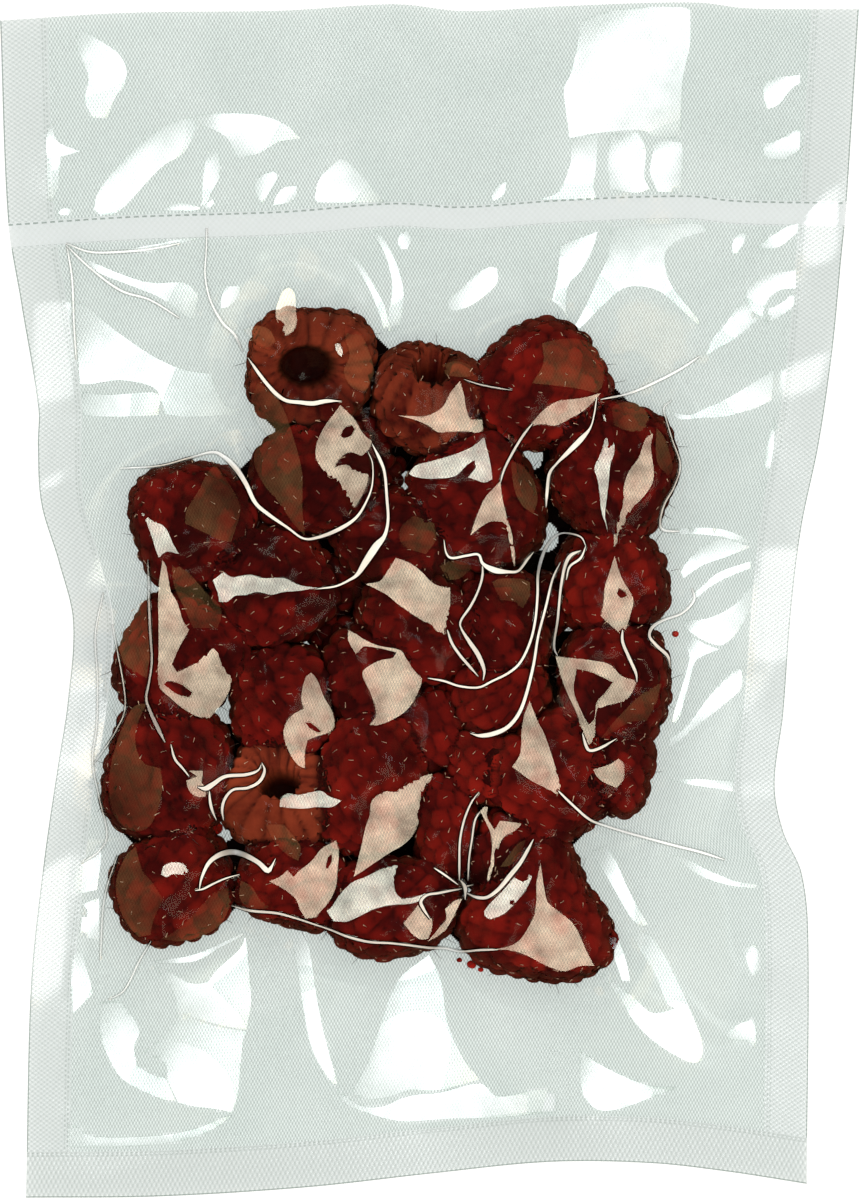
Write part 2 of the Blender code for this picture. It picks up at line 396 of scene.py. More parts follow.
# --------------------------------------
# The hollow berries. These were pulled off their cores when picked, so each has a deep cup, with
# long beads like petals round its rim and ribs down its wall.
# --------------------------------------
# For each hollow berry: which way its cup opens, half the cup's opening angle in degrees, how deep
# the cup is as a share of the berry, and how much darker the berry is on the side of the foot.
CUPS = {
    0: ((0.06, -0.06, 1.0), 35, 0.90, 1.2),
    2: ((0.05, 0.95, 0.75), 30, 0.70, 0.0),
    15: ((-0.10, 0.30, 1.0), 24, 0.92, 0.0),
}
CUP_SQUASH = 0.74  # how much narrower a cup is across the berry than along it
PETALS = (76, 19)  # how far from the cup's axis they reach, in degrees, and how many
CUP_FLOOR = 0.42  # share of the opening angle in which a cup's wall has reached its floor


def hollow_berry(number, berry, rng):
    """A berry whose skin turns in over a rim and runs down into a cup."""
    opening, angle, depth, darker = CUPS[number]
    c, s = math.cos(math.radians(-berry[5])), math.sin(math.radians(-berry[5]))
    opening = np.array([opening[0] * c - opening[1] * s, opening[0] * s + opening[1] * c,
                        opening[2]])
    skin, tone, crease, middle = berry_shape(berry, opening, rng, PETALS)
    tone = tone * (1 - darker * np.clip(0.15 - BALL[:, 1], 0, 0.8))
    off, turn = round_axis(opening)
    rib = np.cos(PETALS[1] * turn + 2.2 * np.sin(2 * turn))
    edge = angle * (1 + 0.07 * rib + 0.09 * np.sin(turn + number) + 0.06 * np.sin(3 * turn))
    opening /= np.linalg.norm(opening)
    up = skin @ opening
    aside = skin - up[:, None] * opening
    away = np.linalg.norm(aside, axis=1)[:, None]
    aside[:, 1] *= CUP_SQUASH
    share = np.clip(off / edge, 0, 1)
    wall = np.clip((share - CUP_FLOOR) / (1 - CUP_FLOOR), 0, 1)
    rim = np.array(berry[2:4]).mean() * math.sin(math.radians(angle)) * 1.05
    wide = rim * np.where(wall > 0, 0.62 + 0.38 * wall**1.5, 0.62 * share / CUP_FLOOR)
    sunk = up - depth * 1.5 * berry[4] * (1 - wall**1.3)
    cup = sunk[:, None] * opening + aside / (away + 1e-9) * wide[:, None]
    skin = np.where((share < 1)[:, None], cup, skin)
    # Painted shade: the cup's wall darkens towards near black as it goes down, more between its ribs.
    deep = np.clip((1 - wall) * 1.15 - 0.12 + 0.3 * rib * wall, 0, 0.95) * (share < 1)
    return skin, tone, np.clip(np.maximum(crease, deep), 0, 1), middle


# The last colour is the painted shade in the creases and down the cup.
hollow_skin = berry_material("hollow_berry_skin", (0.042, 0.0016, 0.0010, 1),
                             (0.230, 0.034, 0.013, 1), (0.006, 0.0002, 0.0002, 1))
hollow_berries = gather("hollow_berries", "open", hollow_berry, hollow_skin)
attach(hollow_berries, "root")


# --------------------------------------
# The berry hairs. Each bead keeps the dry style of its flower, a stiff straw-coloured hair. The
# film has pressed most of them flat on the skin; a few stand out at the sides.
# --------------------------------------
HAIR_LENGTH, OUTER_LENGTH = (0.35, 1.05), (1.2, 2.6)  # of those pressed flat, and that stand out
HAIR_THICK = 0.085
HAIR_STEPS = 4
HAIR_SIDES = 3


def make_tubes(lines, thick, sides=HAIR_SIDES):
    """Joined tubes along many lines of the same number of points, thinner towards the tips."""
    lines = np.asarray(lines)
    count, steps, _ = lines.shape
    run = np.gradient(lines, axis=1)
    run /= np.linalg.norm(run, axis=2)[..., None] + 1e-12
    up = np.array([0.05, 0.02, 1.0])
    side = np.cross(run, up)
    side /= np.linalg.norm(side, axis=2)[..., None] + 1e-9
    over = np.cross(side, run)
    turn = np.arange(sides) * 2 * math.pi / sides
    taper = np.linspace(1.0, 0.45, steps)[None, :, None, None] * thick
    rings = (lines[:, :, None, :] + taper * (np.cos(turn)[None, None, :, None] * side[:, :, None, :]
             + np.sin(turn)[None, None, :, None] * over[:, :, None, :]))
    points = rings.reshape(-1, 3)
    base = np.arange(count * steps * sides).reshape(count, steps, sides)
    near, far = base[:, :-1], base[:, 1:]
    faces = np.stack([near, np.roll(near, -1, 2), np.roll(far, -1, 2), far], -1).reshape(-1, 4)
    return points, faces


def style_material(name, dark, bright, rough):
    """A dry style, lighter and darker in streaks."""
    material, tree, surface = blank_material(name)
    colour = blend_colours(tree, noise(tree, 260.0, 2.0), dark, bright)
    shader = add_node(tree, "BsdfPrincipled", Base_Color=colour, Roughness=rough)
    tree.links.new(shader.outputs[0], surface)
    return material


hair_lines, outer_lines = [], []
for number, berry in enumerate(BERRIES):
    rng = np.random.default_rng(900 + number)
    half = np.array(berry[2:5])
    for middle in bead_places[number]:
        way = middle / half
        way /= np.linalg.norm(way)
        if way[2] < -0.05 or rng.uniform() > 0.85:
            continue
        if number in CUPS and number != 2 and way[2] > 0.75:
            continue
        out = middle / half**2
        out /= np.linalg.norm(out)
        aside = np.cross(out, rng.normal(size=3))
        aside /= np.linalg.norm(aside)
        length = rng.uniform(*HAIR_LENGTH)
        stands = way[2] < 0.35 and rng.uniform() < 0.45
        step = np.linspace(0, length, HAIR_STEPS)[:, None]
        bend = np.cross(out, aside) * rng.uniform(-0.35, 0.35)
        begin = middle + out * (BEAD_RISE * 0.25 + 0.05) + aside * rng.uniform(-0.8, 0.8)
        if stands:
            step = step * rng.uniform(*OUTER_LENGTH) / length
            line = begin + out * step * 0.95 + aside * step * 0.35 + bend * step**2 * 0.3
            outer_lines.append(laid_down(line, berry))
        else:
            drop = out * (step**2) * (0.5 / half.mean())
            line = begin + aside * step + bend * step**2 * 0.4 - drop + out * 0.07
            hair_lines.append(laid_down(line, berry))
berry_hairs = make_mesh("berry_hairs", *make_tubes(hair_lines, HAIR_THICK))
outer_hairs = make_mesh("outer_hairs", *make_tubes(outer_lines, HAIR_THICK * 0.8))
berry_hairs.data.materials.append(
    style_material("dry_style", (0.28, 0.11, 0.06, 1), (0.95, 0.68, 0.46, 1), 0.55))
outer_hairs.data.materials.append(
    style_material("dark_style", (0.010, 0.006, 0.005, 1), (0.09, 0.03, 0.02, 1), 0.6))
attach(berry_hairs, "root")
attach(outer_hairs, "root")


# --------------------------------------
# The loose beads. A few single beads broke off, and bits of red juice lie between the films.
# --------------------------------------
LOOSE_BEADS = [  # middle in X and Y, radius, height of the middle
    (-37.5, -39.8, 1.25, 3.0),
    (30.6, -61.5, 1.0, 2.0),
    (43.0, -5.9, 0.55, 1.2),
    (7.4, -63.7, 0.75, 1.0),
    (5.2, -62.9, 0.45, 0.9),
    (8.9, -64.6, 0.45, 0.9),
]
small_ball, small_faces = ball_skin(8)
loose_points, loose_faces = [], []
for number, (x, y, radius, height) in enumerate(LOOSE_BEADS):
    rng = np.random.default_rng(70 + number)
    shape = small_ball * (1 + 0.12 * wander(small_ball, rng))[:, None] * radius * [1.1, 0.95, 0.8]
    loose_faces.append(small_faces + len(small_ball) * number)
    loose_points.append(shape + [x, y, height])
loose_beads = make_mesh("loose_beads", np.concatenate(loose_points), np.concatenate(loose_faces))
count = len(loose_beads.data.vertices)
skin_colours(loose_beads.data, np.full(count, 0.9), np.zeros(count), np.full(count, 0.9))
bead_skin = berry_material("loose_bead_skin", (0.10, 0.003, 0.002, 1), (0.32, 0.010, 0.006, 1),
                           (0.1, 0.002, 0.002, 1))
loose_beads.data.materials.append(bead_skin)
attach(loose_beads, "root")


# --------------------------------------
# How the front film lies. The pump drew it on to the fruit and down to the back film beside it.
# Pulled taut, it spans from top to top in flat facets, and it is gathered into pleats between.
# --------------------------------------
# The side edges, from the foot (0) to the mouth (1), and the foot and mouth from left to right.
LEFT_EDGE = [
    (0.0, -70.5), (0.18, -69.6), (0.29, -67.2), (0.37, -64.8), (0.42, -63.2), (0.49, -62.2), (0.54, -64.7),
    (0.59, -67.8), (0.64, -68.4), (0.67, -68.3), (0.76, -71.3), (0.83, -73.6), (1.0, -75.0),
]
RIGHT_EDGE = [
    (0.0, 65.9), (0.21, 66.2), (0.265, 65.0), (0.3, 61.8), (0.34, 60.3), (0.4, 61.8), (0.49, 63.2),
    (0.56, 65.0), (0.63, 68.0), (0.71, 70.4), (0.79, 72.0), (0.83, 72.8), (1.0, 75.0),
]
FOOT_EDGE = [
    (0.0, -104.4), (0.17, -104.2), (0.36, -102.6), (0.52, -100.2), (0.67, -98.2), (0.8, -98.4),
    (0.9, -99.9), (1.0, -102.0),
]
MOUTH_EDGE = [
    (0.0, 101.2), (0.15, 102.6), (0.33, 103.0), (0.46, 104.1), (0.54, 102.9), (0.65, 103.7), (0.81, 104.4),
    (0.87, 103.4), (1.0, 103.2),
]
SEAL_LOW, SEAL_HIGH = 0.8107, 0.8321  # where the heat seal crosses, from foot to mouth
SEAL_TILT = 0.0085
WELD_SIDE, WELD_FOOT = 0.055, 0.039  # how wide the welds are, as shares of the bag

# The lamps that show in the film: way round from +X and down from straight up, in degrees, and
# half their width as seen from the bag. Film that isn't a facet is turned away from them.
LAMPS_AWAY = 2.5  # metres
CAMERA_AWAY = 2.5
WINDOWS = {"broad": (-40, 32, 17), "low": (-40, 11, 5), "cool": (118, 42, 10)}

# Flat spans: the lamp that each faces, its outline, and the outlines of any small dents in it. An
# outline is the X and Y, by turns, of its corners.
SPANS = [
    ("broad", [-15.5, 33.9, -13, 31.4, -11.6, 29, -10, 27.6, -10.6, 26.2, -11.8, 25.1, -13.9, 25.7, -15.6,
     24.6, -16.5, 23, -14.8, 23.7, -12.8, 22.7, -10.7, 22, -10, 21, -10.4, 19.6, -12.5, 15.4, -13.5, 16.1,
     -15.6, 19.9, -17.7, 21.7, -19.1, 23.4, -19.8, 25.1, -19.5, 27.6, -18.1, 30.4, -16.3, 32.8], [-15.5,
     28.6, -14.8, 29.9, -13.5, 30.4, -13, 29.7, -13.7, 28.6, -14.9, 28.1]),
    ("cool", [-50.6, 15.7, -48.5, 14, -46, 12.6, -44.6, 9.8, -43.6, 8, -45.7, 8.4, -47.1, 7.3, -47.8, 9.4,
     -48.5, 11.5, -49.5, 14]),
    ("cool", [-38.3, 6.3, -36.6, 5.6, -34.5, 4, -31.3, 4.4, -28.9, 3.8, -25.4, 3.8, -22.6, 2.6, -19.5, 2.1,
     -22.6, 1.6, -25.4, 1.4, -27.5, 0.9, -29.9, 1.4, -31.7, 0.9, -33.8, 0.7, -35.2, -0.3, -36.6, -0.3,
     -36.9, 1.4, -38, 4.2]),
    ("broad", [5.3, 38.1, 6, 35.6, 6.4, 33.2, 7.1, 31.4, 9.2, 31.4, 9.3, 29.7, 8.5, 28.6, 7.1, 29.3, 3.6,
     29.3, 1.5, 29.2, -0.3, 30.4, -2.7, 31.4, -5.5, 32.1, -3.4, 32, -0.6, 32, 2.2, 33.5, 3.6, 36]),
    ("broad", [29.8, 36, 26.3, 35.1, 22.8, 34.7, 20.7, 33.7, 18.9, 32.1, 17.2, 30, 19.3, 30.6, 22.1, 30.4,
     24.5, 31.6, 26.6, 32.8, 28.4, 34.4]),
    ("broad", [12.3, 20.6, 12.7, 17.5, 13.4, 14.7, 14.4, 11.2, 14.9, 7.7, 14.8, 5.6, 14.1, 8.7, 13.5, 12.2,
     12.7, 13.6, 10.6, 13.6, 8.8, 12.6, 7.1, 11.2, 8.1, 14.3, 9.5, 17.5, 11.3, 19.6]),
    ("cool", [9.5, 28.3, 10.2, 25.5, 10.7, 23, 10.9, 21, 9.5, 20.4, 7.8, 21, 6.7, 21.3, 8.1, 23, 7.8, 24.3,
     6.4, 23.4, 4.3, 21.5, 0.1, 21.1, -2.7, 21.5, -3.6, 22, -2.4, 23.4, 0.1, 24.1, 3.6, 25.1, 7.1, 26.5]),
    ("broad", [-46.4, 7, -45.7, 5.6, -45, 1.7, -43.9, -0.3, -42.9, -3.5, -41.8, -5.2, -43.6, -8.4, -44.8,
     -11.2, -43.9, -12.6, -40.4, -10.8, -38.7, -9.1, -36.9, -7.7, -36.4, -10.1, -35.5, -12.2, -34.5, -13.6,
     -34.8, -15.7, -36.2, -18.2, -38.3, -20.6, -40.4, -20.3, -42.9, -18.9, -45, -17.1, -47.1, -14.7, -47.1,
     -8.7, -47.1, -3.5, -47.1, 1.7], [-46.2, -14.7, -45.3, -14.1, -43.2, -14.7, -41.3, -16.1, -41.8, -16.9,
     -43.9, -16.4]),
    ("broad", [-20.5, -12.6, -19.5, -14, -18.4, -16.8, -17, -19.2, -16.5, -21.7, -17.4, -23, -19.5, -23.7,
     -21.2, -24.4, -21.7, -26.5, -21.7, -29.3, -23, -28.6, -24.4, -26.5, -25.4, -23.4, -24.9, -21.3, -23.7,
     -19.9, -21.9, -18.9, -22.3, -16.8, -21.6, -13.6], [-21.6, -21.3, -20.5, -21.5, -18.8, -22.9, -19.5,
     -23, -20.7, -22.4]),
    ("cool", [-26.1, -36, -25.9, -34.6, -24.7, -33.7, -22.6, -33.9, -19.1, -33.2, -17.4, -34.2, -15.3,
     -34.9, -17, -36, -19.5, -36, -22.3, -36.3]),
    ("broad", [-5.8, 7.3, -3.8, 6.6, -1.7, 5.2, 0.8, 2.8, 3.6, 2.1, 3.6, -1, 3.2, -3.5, 3.1, -6.3, 1.8,
     -5.9, -0.3, -4.2, -3.1, -2.4, -5.5, -0.7, -7.6, 1, -11.1, 2.8, -8.6, 3.3, -7.2, 5.2]),
    ("broad", [17.4, -17.5, 18.8, -21, 20, -23.4, 21, -26.2, 22.1, -29.7, 22.8, -32.1, 23.8, -33.9, 26.3,
     -36.7, 23.8, -34.9, 21.4, -33.4, 19.3, -32.3, 17.2, -31.1, 14.4, -29, 15.8, -26.5, 16, -22.7, 16.5,
     -19.9]),
    ("broad", [-14.1, -5.2, -12.8, -5.9, -11.1, -7, -8.6, -8, -5.2, -8.7, -4.1, -10.1, -2.7, -12.2, -1.3,
     -13.6, -1.7, -15.4, -3.4, -18.5, -5.5, -20.3, -8.6, -21.7, -10.4, -21.7, -9.3, -19.9, -10, -16.8,
     -11.6, -13.3, -11.1, -11.9, -8.6, -10.5, -6.5, -10.1, -5.7, -9.1, -8.6, -8.4, -11.4, -8, -12.8, -9.4,
     -14.1, -7]),
    ("broad", [0.6, -30.2, 0.1, -31.8, -1.3, -33.9, -1.8, -36.7, -2, -39.1, -3.1, -41.2, -4.5, -42.6, -6.9,
     -44, -9, -45.4, -11.1, -46.8, -13.2, -48.2, -12.5, -45.4, -11.8, -42.6, -11.1, -39.5, -10.4, -37.4,
     -10, -34.9, -7.9, -33.4, -5.5, -33, -3.4, -31.8, -1, -30.6]),
    ("cool", [-17.9, -54.1, -17, -53.4, -15.6, -51.3, -13.5, -49.2, -11.1, -48.2, -8.3, -46.8, -5.2, -45.9,
     -5.8, -47.1, -6.2, -49.2, -5.8, -51, -4.8, -52, -2.7, -51.7, -0.6, -51, -2, -52.4, -4.1, -52.9, -6.9,
     -53.1, -9.7, -53.8, -11.8, -54.8, -14.2, -55.9, -16.7, -55.9]),
    ("broad", [-16.3, -41.9, -15.8, -43.7, -16, -47.1, -16.3, -49.9, -17.4, -52.4, -18.8, -54.1, -19.8,
     -55.2, -21.6, -55.5, -22.6, -53.8, -23.3, -52, -25.4, -50.3, -27.9, -48.9, -26.1, -48.2, -24.7, -47,
     -23.7, -48.2, -22.6, -47.1, -20.5, -45.4, -18.8, -43.3], [-18.1, -46.6, -17.7, -44.9, -17, -44.2, -17,
     -45.4, -17.7, -46.8]),
    ("cool", [-46.7, -47.8, -46.4, -46.4, -45, -45.7, -42.9, -45.9, -42, -47.1, -42.5, -47.8, -44.6, -47.7,
     -45.7, -48.2]),
    ("broad", [11.3, -60.8, 14.1, -60.1, 15.8, -59, 17.2, -56.9, 18.2, -54.8, 18.6, -52, 18.6, -49.2, 19.3,
     -45.7, 19.8, -49.2, 20.5, -52.4, 22.4, -54.1, 24.9, -56.2, 26.3, -58.7, 27.3, -61.1, 28.7, -63.7, 26.3,
     -63.7, 23.5, -64.6, 21, -63.9, 18.9, -62.9, 16.9, -61.8, 14.1, -60.9]),
    ("cool", [9.5, -54.1, 10.6, -52.7, 12.7, -50.6, 15.1, -47.8, 16.9, -45.7, 18.1, -45.4, 18.2, -46.8,
     17.2, -49.6, 15.5, -52, 13, -54.5, 10.6, -55.5, 9.7, -55]),
    ("broad", [-1.5, -52.4, -0.6, -54.1, 0.4, -55.5, 0.4, -57.3, -0.3, -59, -1.7, -59, -3.1, -58, -4.5,
     -56.2, -3.1, -54.5]),
    ("broad", [5.7, -52, 4.3, -54.8, 2.9, -57.3, 1.1, -58.7, -0.3, -59.4, 1.5, -57.3, 2.9, -55.5, 2.7,
     -53.8, 4.3, -52.4]),
    ("broad", [8.8, -36.7, 9.5, -36, 10.2, -36, 10, -37.7, 11.3, -40, 12.3, -38.4, 16.2, -38.9, 14.8, -40.2,
     13, -41.2, 12.1, -43, 12, -45, 10.9, -47.1, 10.2, -50.3, 10, -48.5, 10.6, -45.7, 10.9, -43, 10.6,
     -40.5, 9.5, -38.1]),
    ("cool", [29.6, 34.6, 30.5, 32.8, 31.5, 30.4, 32, 27.9, 32.2, 25.8, 31.5, 23.7, 31.2, 21, 30.8, 17.5,
     30.5, 14.7, 31, 11.9, 29.9, 15.4, 29.6, 18.2, 29.2, 21, 28.7, 23, 29.6, 25.1, 30.3, 27.2, 30.6, 30,
     29.9, 32.8]),
    ("broad", [38.9, 29, 38.5, 26.5, 38.9, 23.7, 39, 21.3, 38.2, 19.2, 36.8, 17.5, 35, 15.4, 34, 13.3, 33.1,
     11.2, 32.4, 8.7, 31.9, 8.7, 31.9, 10.8, 32.6, 13.3, 33.6, 16.4, 33.8, 19.6, 34.7, 22.4, 36.4, 24.8,
     37.5, 27.9]),
    ("broad", [32.2, 7.7, 32.7, 5.9, 33.6, 3.5, 35.4, 0.3, 35, -2.4, 34, -5.6, 33.1, -5.8, 31.3, -4.2, 29.8,
     -2.8, 30.3, -0.3, 30.5, 2.3, 31.2, 4.5], [32.9, 2.1, 34, 1.4, 34.3, 0.7, 33.3, 0.3, 32.6, 1]),
    ("broad", [21.9, -9.8, 24.7, -10.1, 28.2, -10.5, 31.3, -11.2, 33.6, -13.3, 36.2, -14, 34.8, -16.8, 32,
     -19.4, 29.8, -22.2, 27.7, -25.8, 26.6, -23.2, 25.6, -19.7, 24.4, -17.1, 23.1, -14], [25.6, -12, 28.2,
     -12.6, 31.9, -14.3, 30.5, -16.2, 29.1, -17.8, 28.7, -20.6, 27.7, -21.7, 26.6, -19.7, 25.1, -15.9]),
    ("broad", [28.5, -29.5, 31.3, -28.6, 32.9, -27.6, 33.8, -28.6, 33.8, -31.1, 32.6, -32.7, 30.5, -31.8,
     29.1, -30.7]),
    ("cool", [-16.5, 44.9, -15.6, 44.5, -15.1, 43.1, -15.3, 42.3, -16.2, 43.3]),
    ("broad", [-40.4, -30.7, -41.8, -29.7, -39.4, -29.7, -39.7, -31.8, -38.7, -32.8, -39, -34.2, -40.4,
     -34.2, -41.8, -33.2, -42.3, -31.4]),
    ("dim_right", [-37.3, 23.7, -35.9, 21.7, -34.5, 19.6, -33.1, 16.8, -33.1, 14.7, -34.5, 10.1, -36.6,
     10.5, -40.1, 12.2, -42.5, 13.3, -42.2, 15.7, -40.1, 19.2, -38.7, 22]),
    ("dim_left", [-29.9, 37.7, -27.5, 36.3, -25.4, 33.2, -24, 29.3, -22.6, 24.4, -22.1, 21, -22.1, 15.7,
     -21.7, 11.2, -23.7, 13.3, -26.1, 16.8, -29.2, 20.6, -30.6, 24.4, -29.6, 27.2, -27.9, 28.3, -30.3, 31.4,
     -31, 34.9]),
    ("dim_right", [-45, 5.9, -42.9, 5.6, -40.8, 3.5, -38.3, 0.7, -36.6, -0.7, -36.2, -2.8, -36.9, -4.9,
     -41.1, -4.9, -42.5, -1.7, -44.3, 2.1]),
    ("dim_left", [-50.9, -1, -48.8, 0.3, -48.8, -5.2, -48.6, -8.7, -49.2, -13.6, -51.2, -12.9, -53.5, -10.8,
     -54.2, -8.7, -53.3, -5.9]),
    ("dim_left", [-51.5, -18.6, -49.2, -18, -50.8, -21.5, -51.2, -25, -49.8, -28.3, -46.8, -29.3, -46.5,
     -32.5, -47.3, -36.5, -49, -39.6, -51.8, -40.2, -54.2, -38.6, -55.6, -35.5, -55.8, -31, -55, -26.5,
     -53.4, -22]),
    ("dim_left", [-53, -44.7, -51.2, -43, -50, -47.1, -48.5, -48.9, -46.4, -52, -48.1, -55.9, -48.6, -58.3,
     -50.6, -58.7, -52.6, -56.6, -54.2, -53.1, -54.6, -48.9]),
    ("dim_right", [-44.3, -57.6, -40.8, -54.5, -38, -51.3, -34.8, -49.6, -34.5, -52.4, -35.4, -54.8, -36.8,
     -56.9, -40.1, -58.8, -43.6, -59.4, -46.7, -59]),
    ("dim_right", [-32.9, -48.9, -31, -49.9, -29.6, -52, -27.5, -53.8, -30.3, -53.8, -31.9, -53.4, -33.1,
     -51.7]),
    ("dim_right", [19.6, 44.7, 22.8, 45.4, 26.3, 45.4, 29.1, 43.8, 30.5, 40.9, 30.1, 37.4, 29.1, 36, 26.3,
     36.7, 22.8, 37.2, 17.9, 37.7, 19.8, 41.2]),
    ("dim_right", [31.7, 33.5, 33.3, 34.4, 36.1, 34.2, 37.6, 33, 38.2, 31.4, 37.3, 29.2, 34.3, 29.5, 32.2,
     30.4]),
    ("dim_right", [39.5, 30, 40.9, 28.3, 42, 25.1, 42.3, 22.7, 41.5, 21.7, 39.9, 23.4, 39.4, 25.8]),
    ("dim_right", [14.1, 24.1, 16.2, 23.4, 18.2, 20.6, 18.8, 17.5, 18.1, 15, 16.2, 16.4, 14.8, 19.2]),
    ("dim_right", [10.9, 3.1, 12.3, 3.7, 15.8, 3.7, 17.5, 3.1, 17.4, 0.7, 16, -1.9, 15.1, -0.3, 12.3, 0]),
    ("dim_right", [1.8, 5.9, 3.9, 6.8, 6.7, 6.3, 7.4, 5.6, 5.3, 3.8, 3.2, 3.5]),
    ("dim_right", [-4.8, 12.9, -2.7, 14.7, 0.8, 13.3, 1.1, 10.5, -0.6, 8, -4.1, 9.1, -5.2, 10.8]),
    ("dim_right", [36.1, -17.1, 38.5, -15.4, 40.6, -14, 39.4, -18.2, 37.8, -21, 34.8, -21.3, 31.9, -23,
     29.8, -24.1, 32, -21.3]),
    ("broad", [-26.8, 50.6, -26.3, 52.2, -25.6, 53.8, -24.5, 54.5, -23.7, 53.8, -23.3, 52.4, -23.3, 50.3,
     -22.8, 48.9, -23.3, 46.4, -25.1, 45.7, -26.5, 48.2]),
    ("dim_right", [-28.5, -39.1, -25.4, -39.1, -22.6, -42.6, -22.8, -45.4, -24.7, -44.4, -26.8, -42.3]),
    ("dim_right", [12.3, -46.4, 14.1, -44, 15.5, -42.3, 17, -41.6, 15.8, -44, 14.1, -46.1]),
    ("dim_right", [-14.6, 47.8, -12.1, 46.4, -10.7, 43.7, -9.7, 39.8, -11.1, 36.3, -13.5, 37, -14.9, 39.8,
     -13.9, 42.6, -14.6, 45.4]),
    ("dim_left", [-32.4, 47.1, -30.3, 47.8, -27.9, 47.1, -26.8, 45, -27.9, 43.7, -30.3, 44.7]),
    ("dim_right", [2.2, 40.9, 4.6, 41.6, 7.1, 40.9, 7.8, 39.1, 5.7, 38.8, 2.9, 39.1]),
]
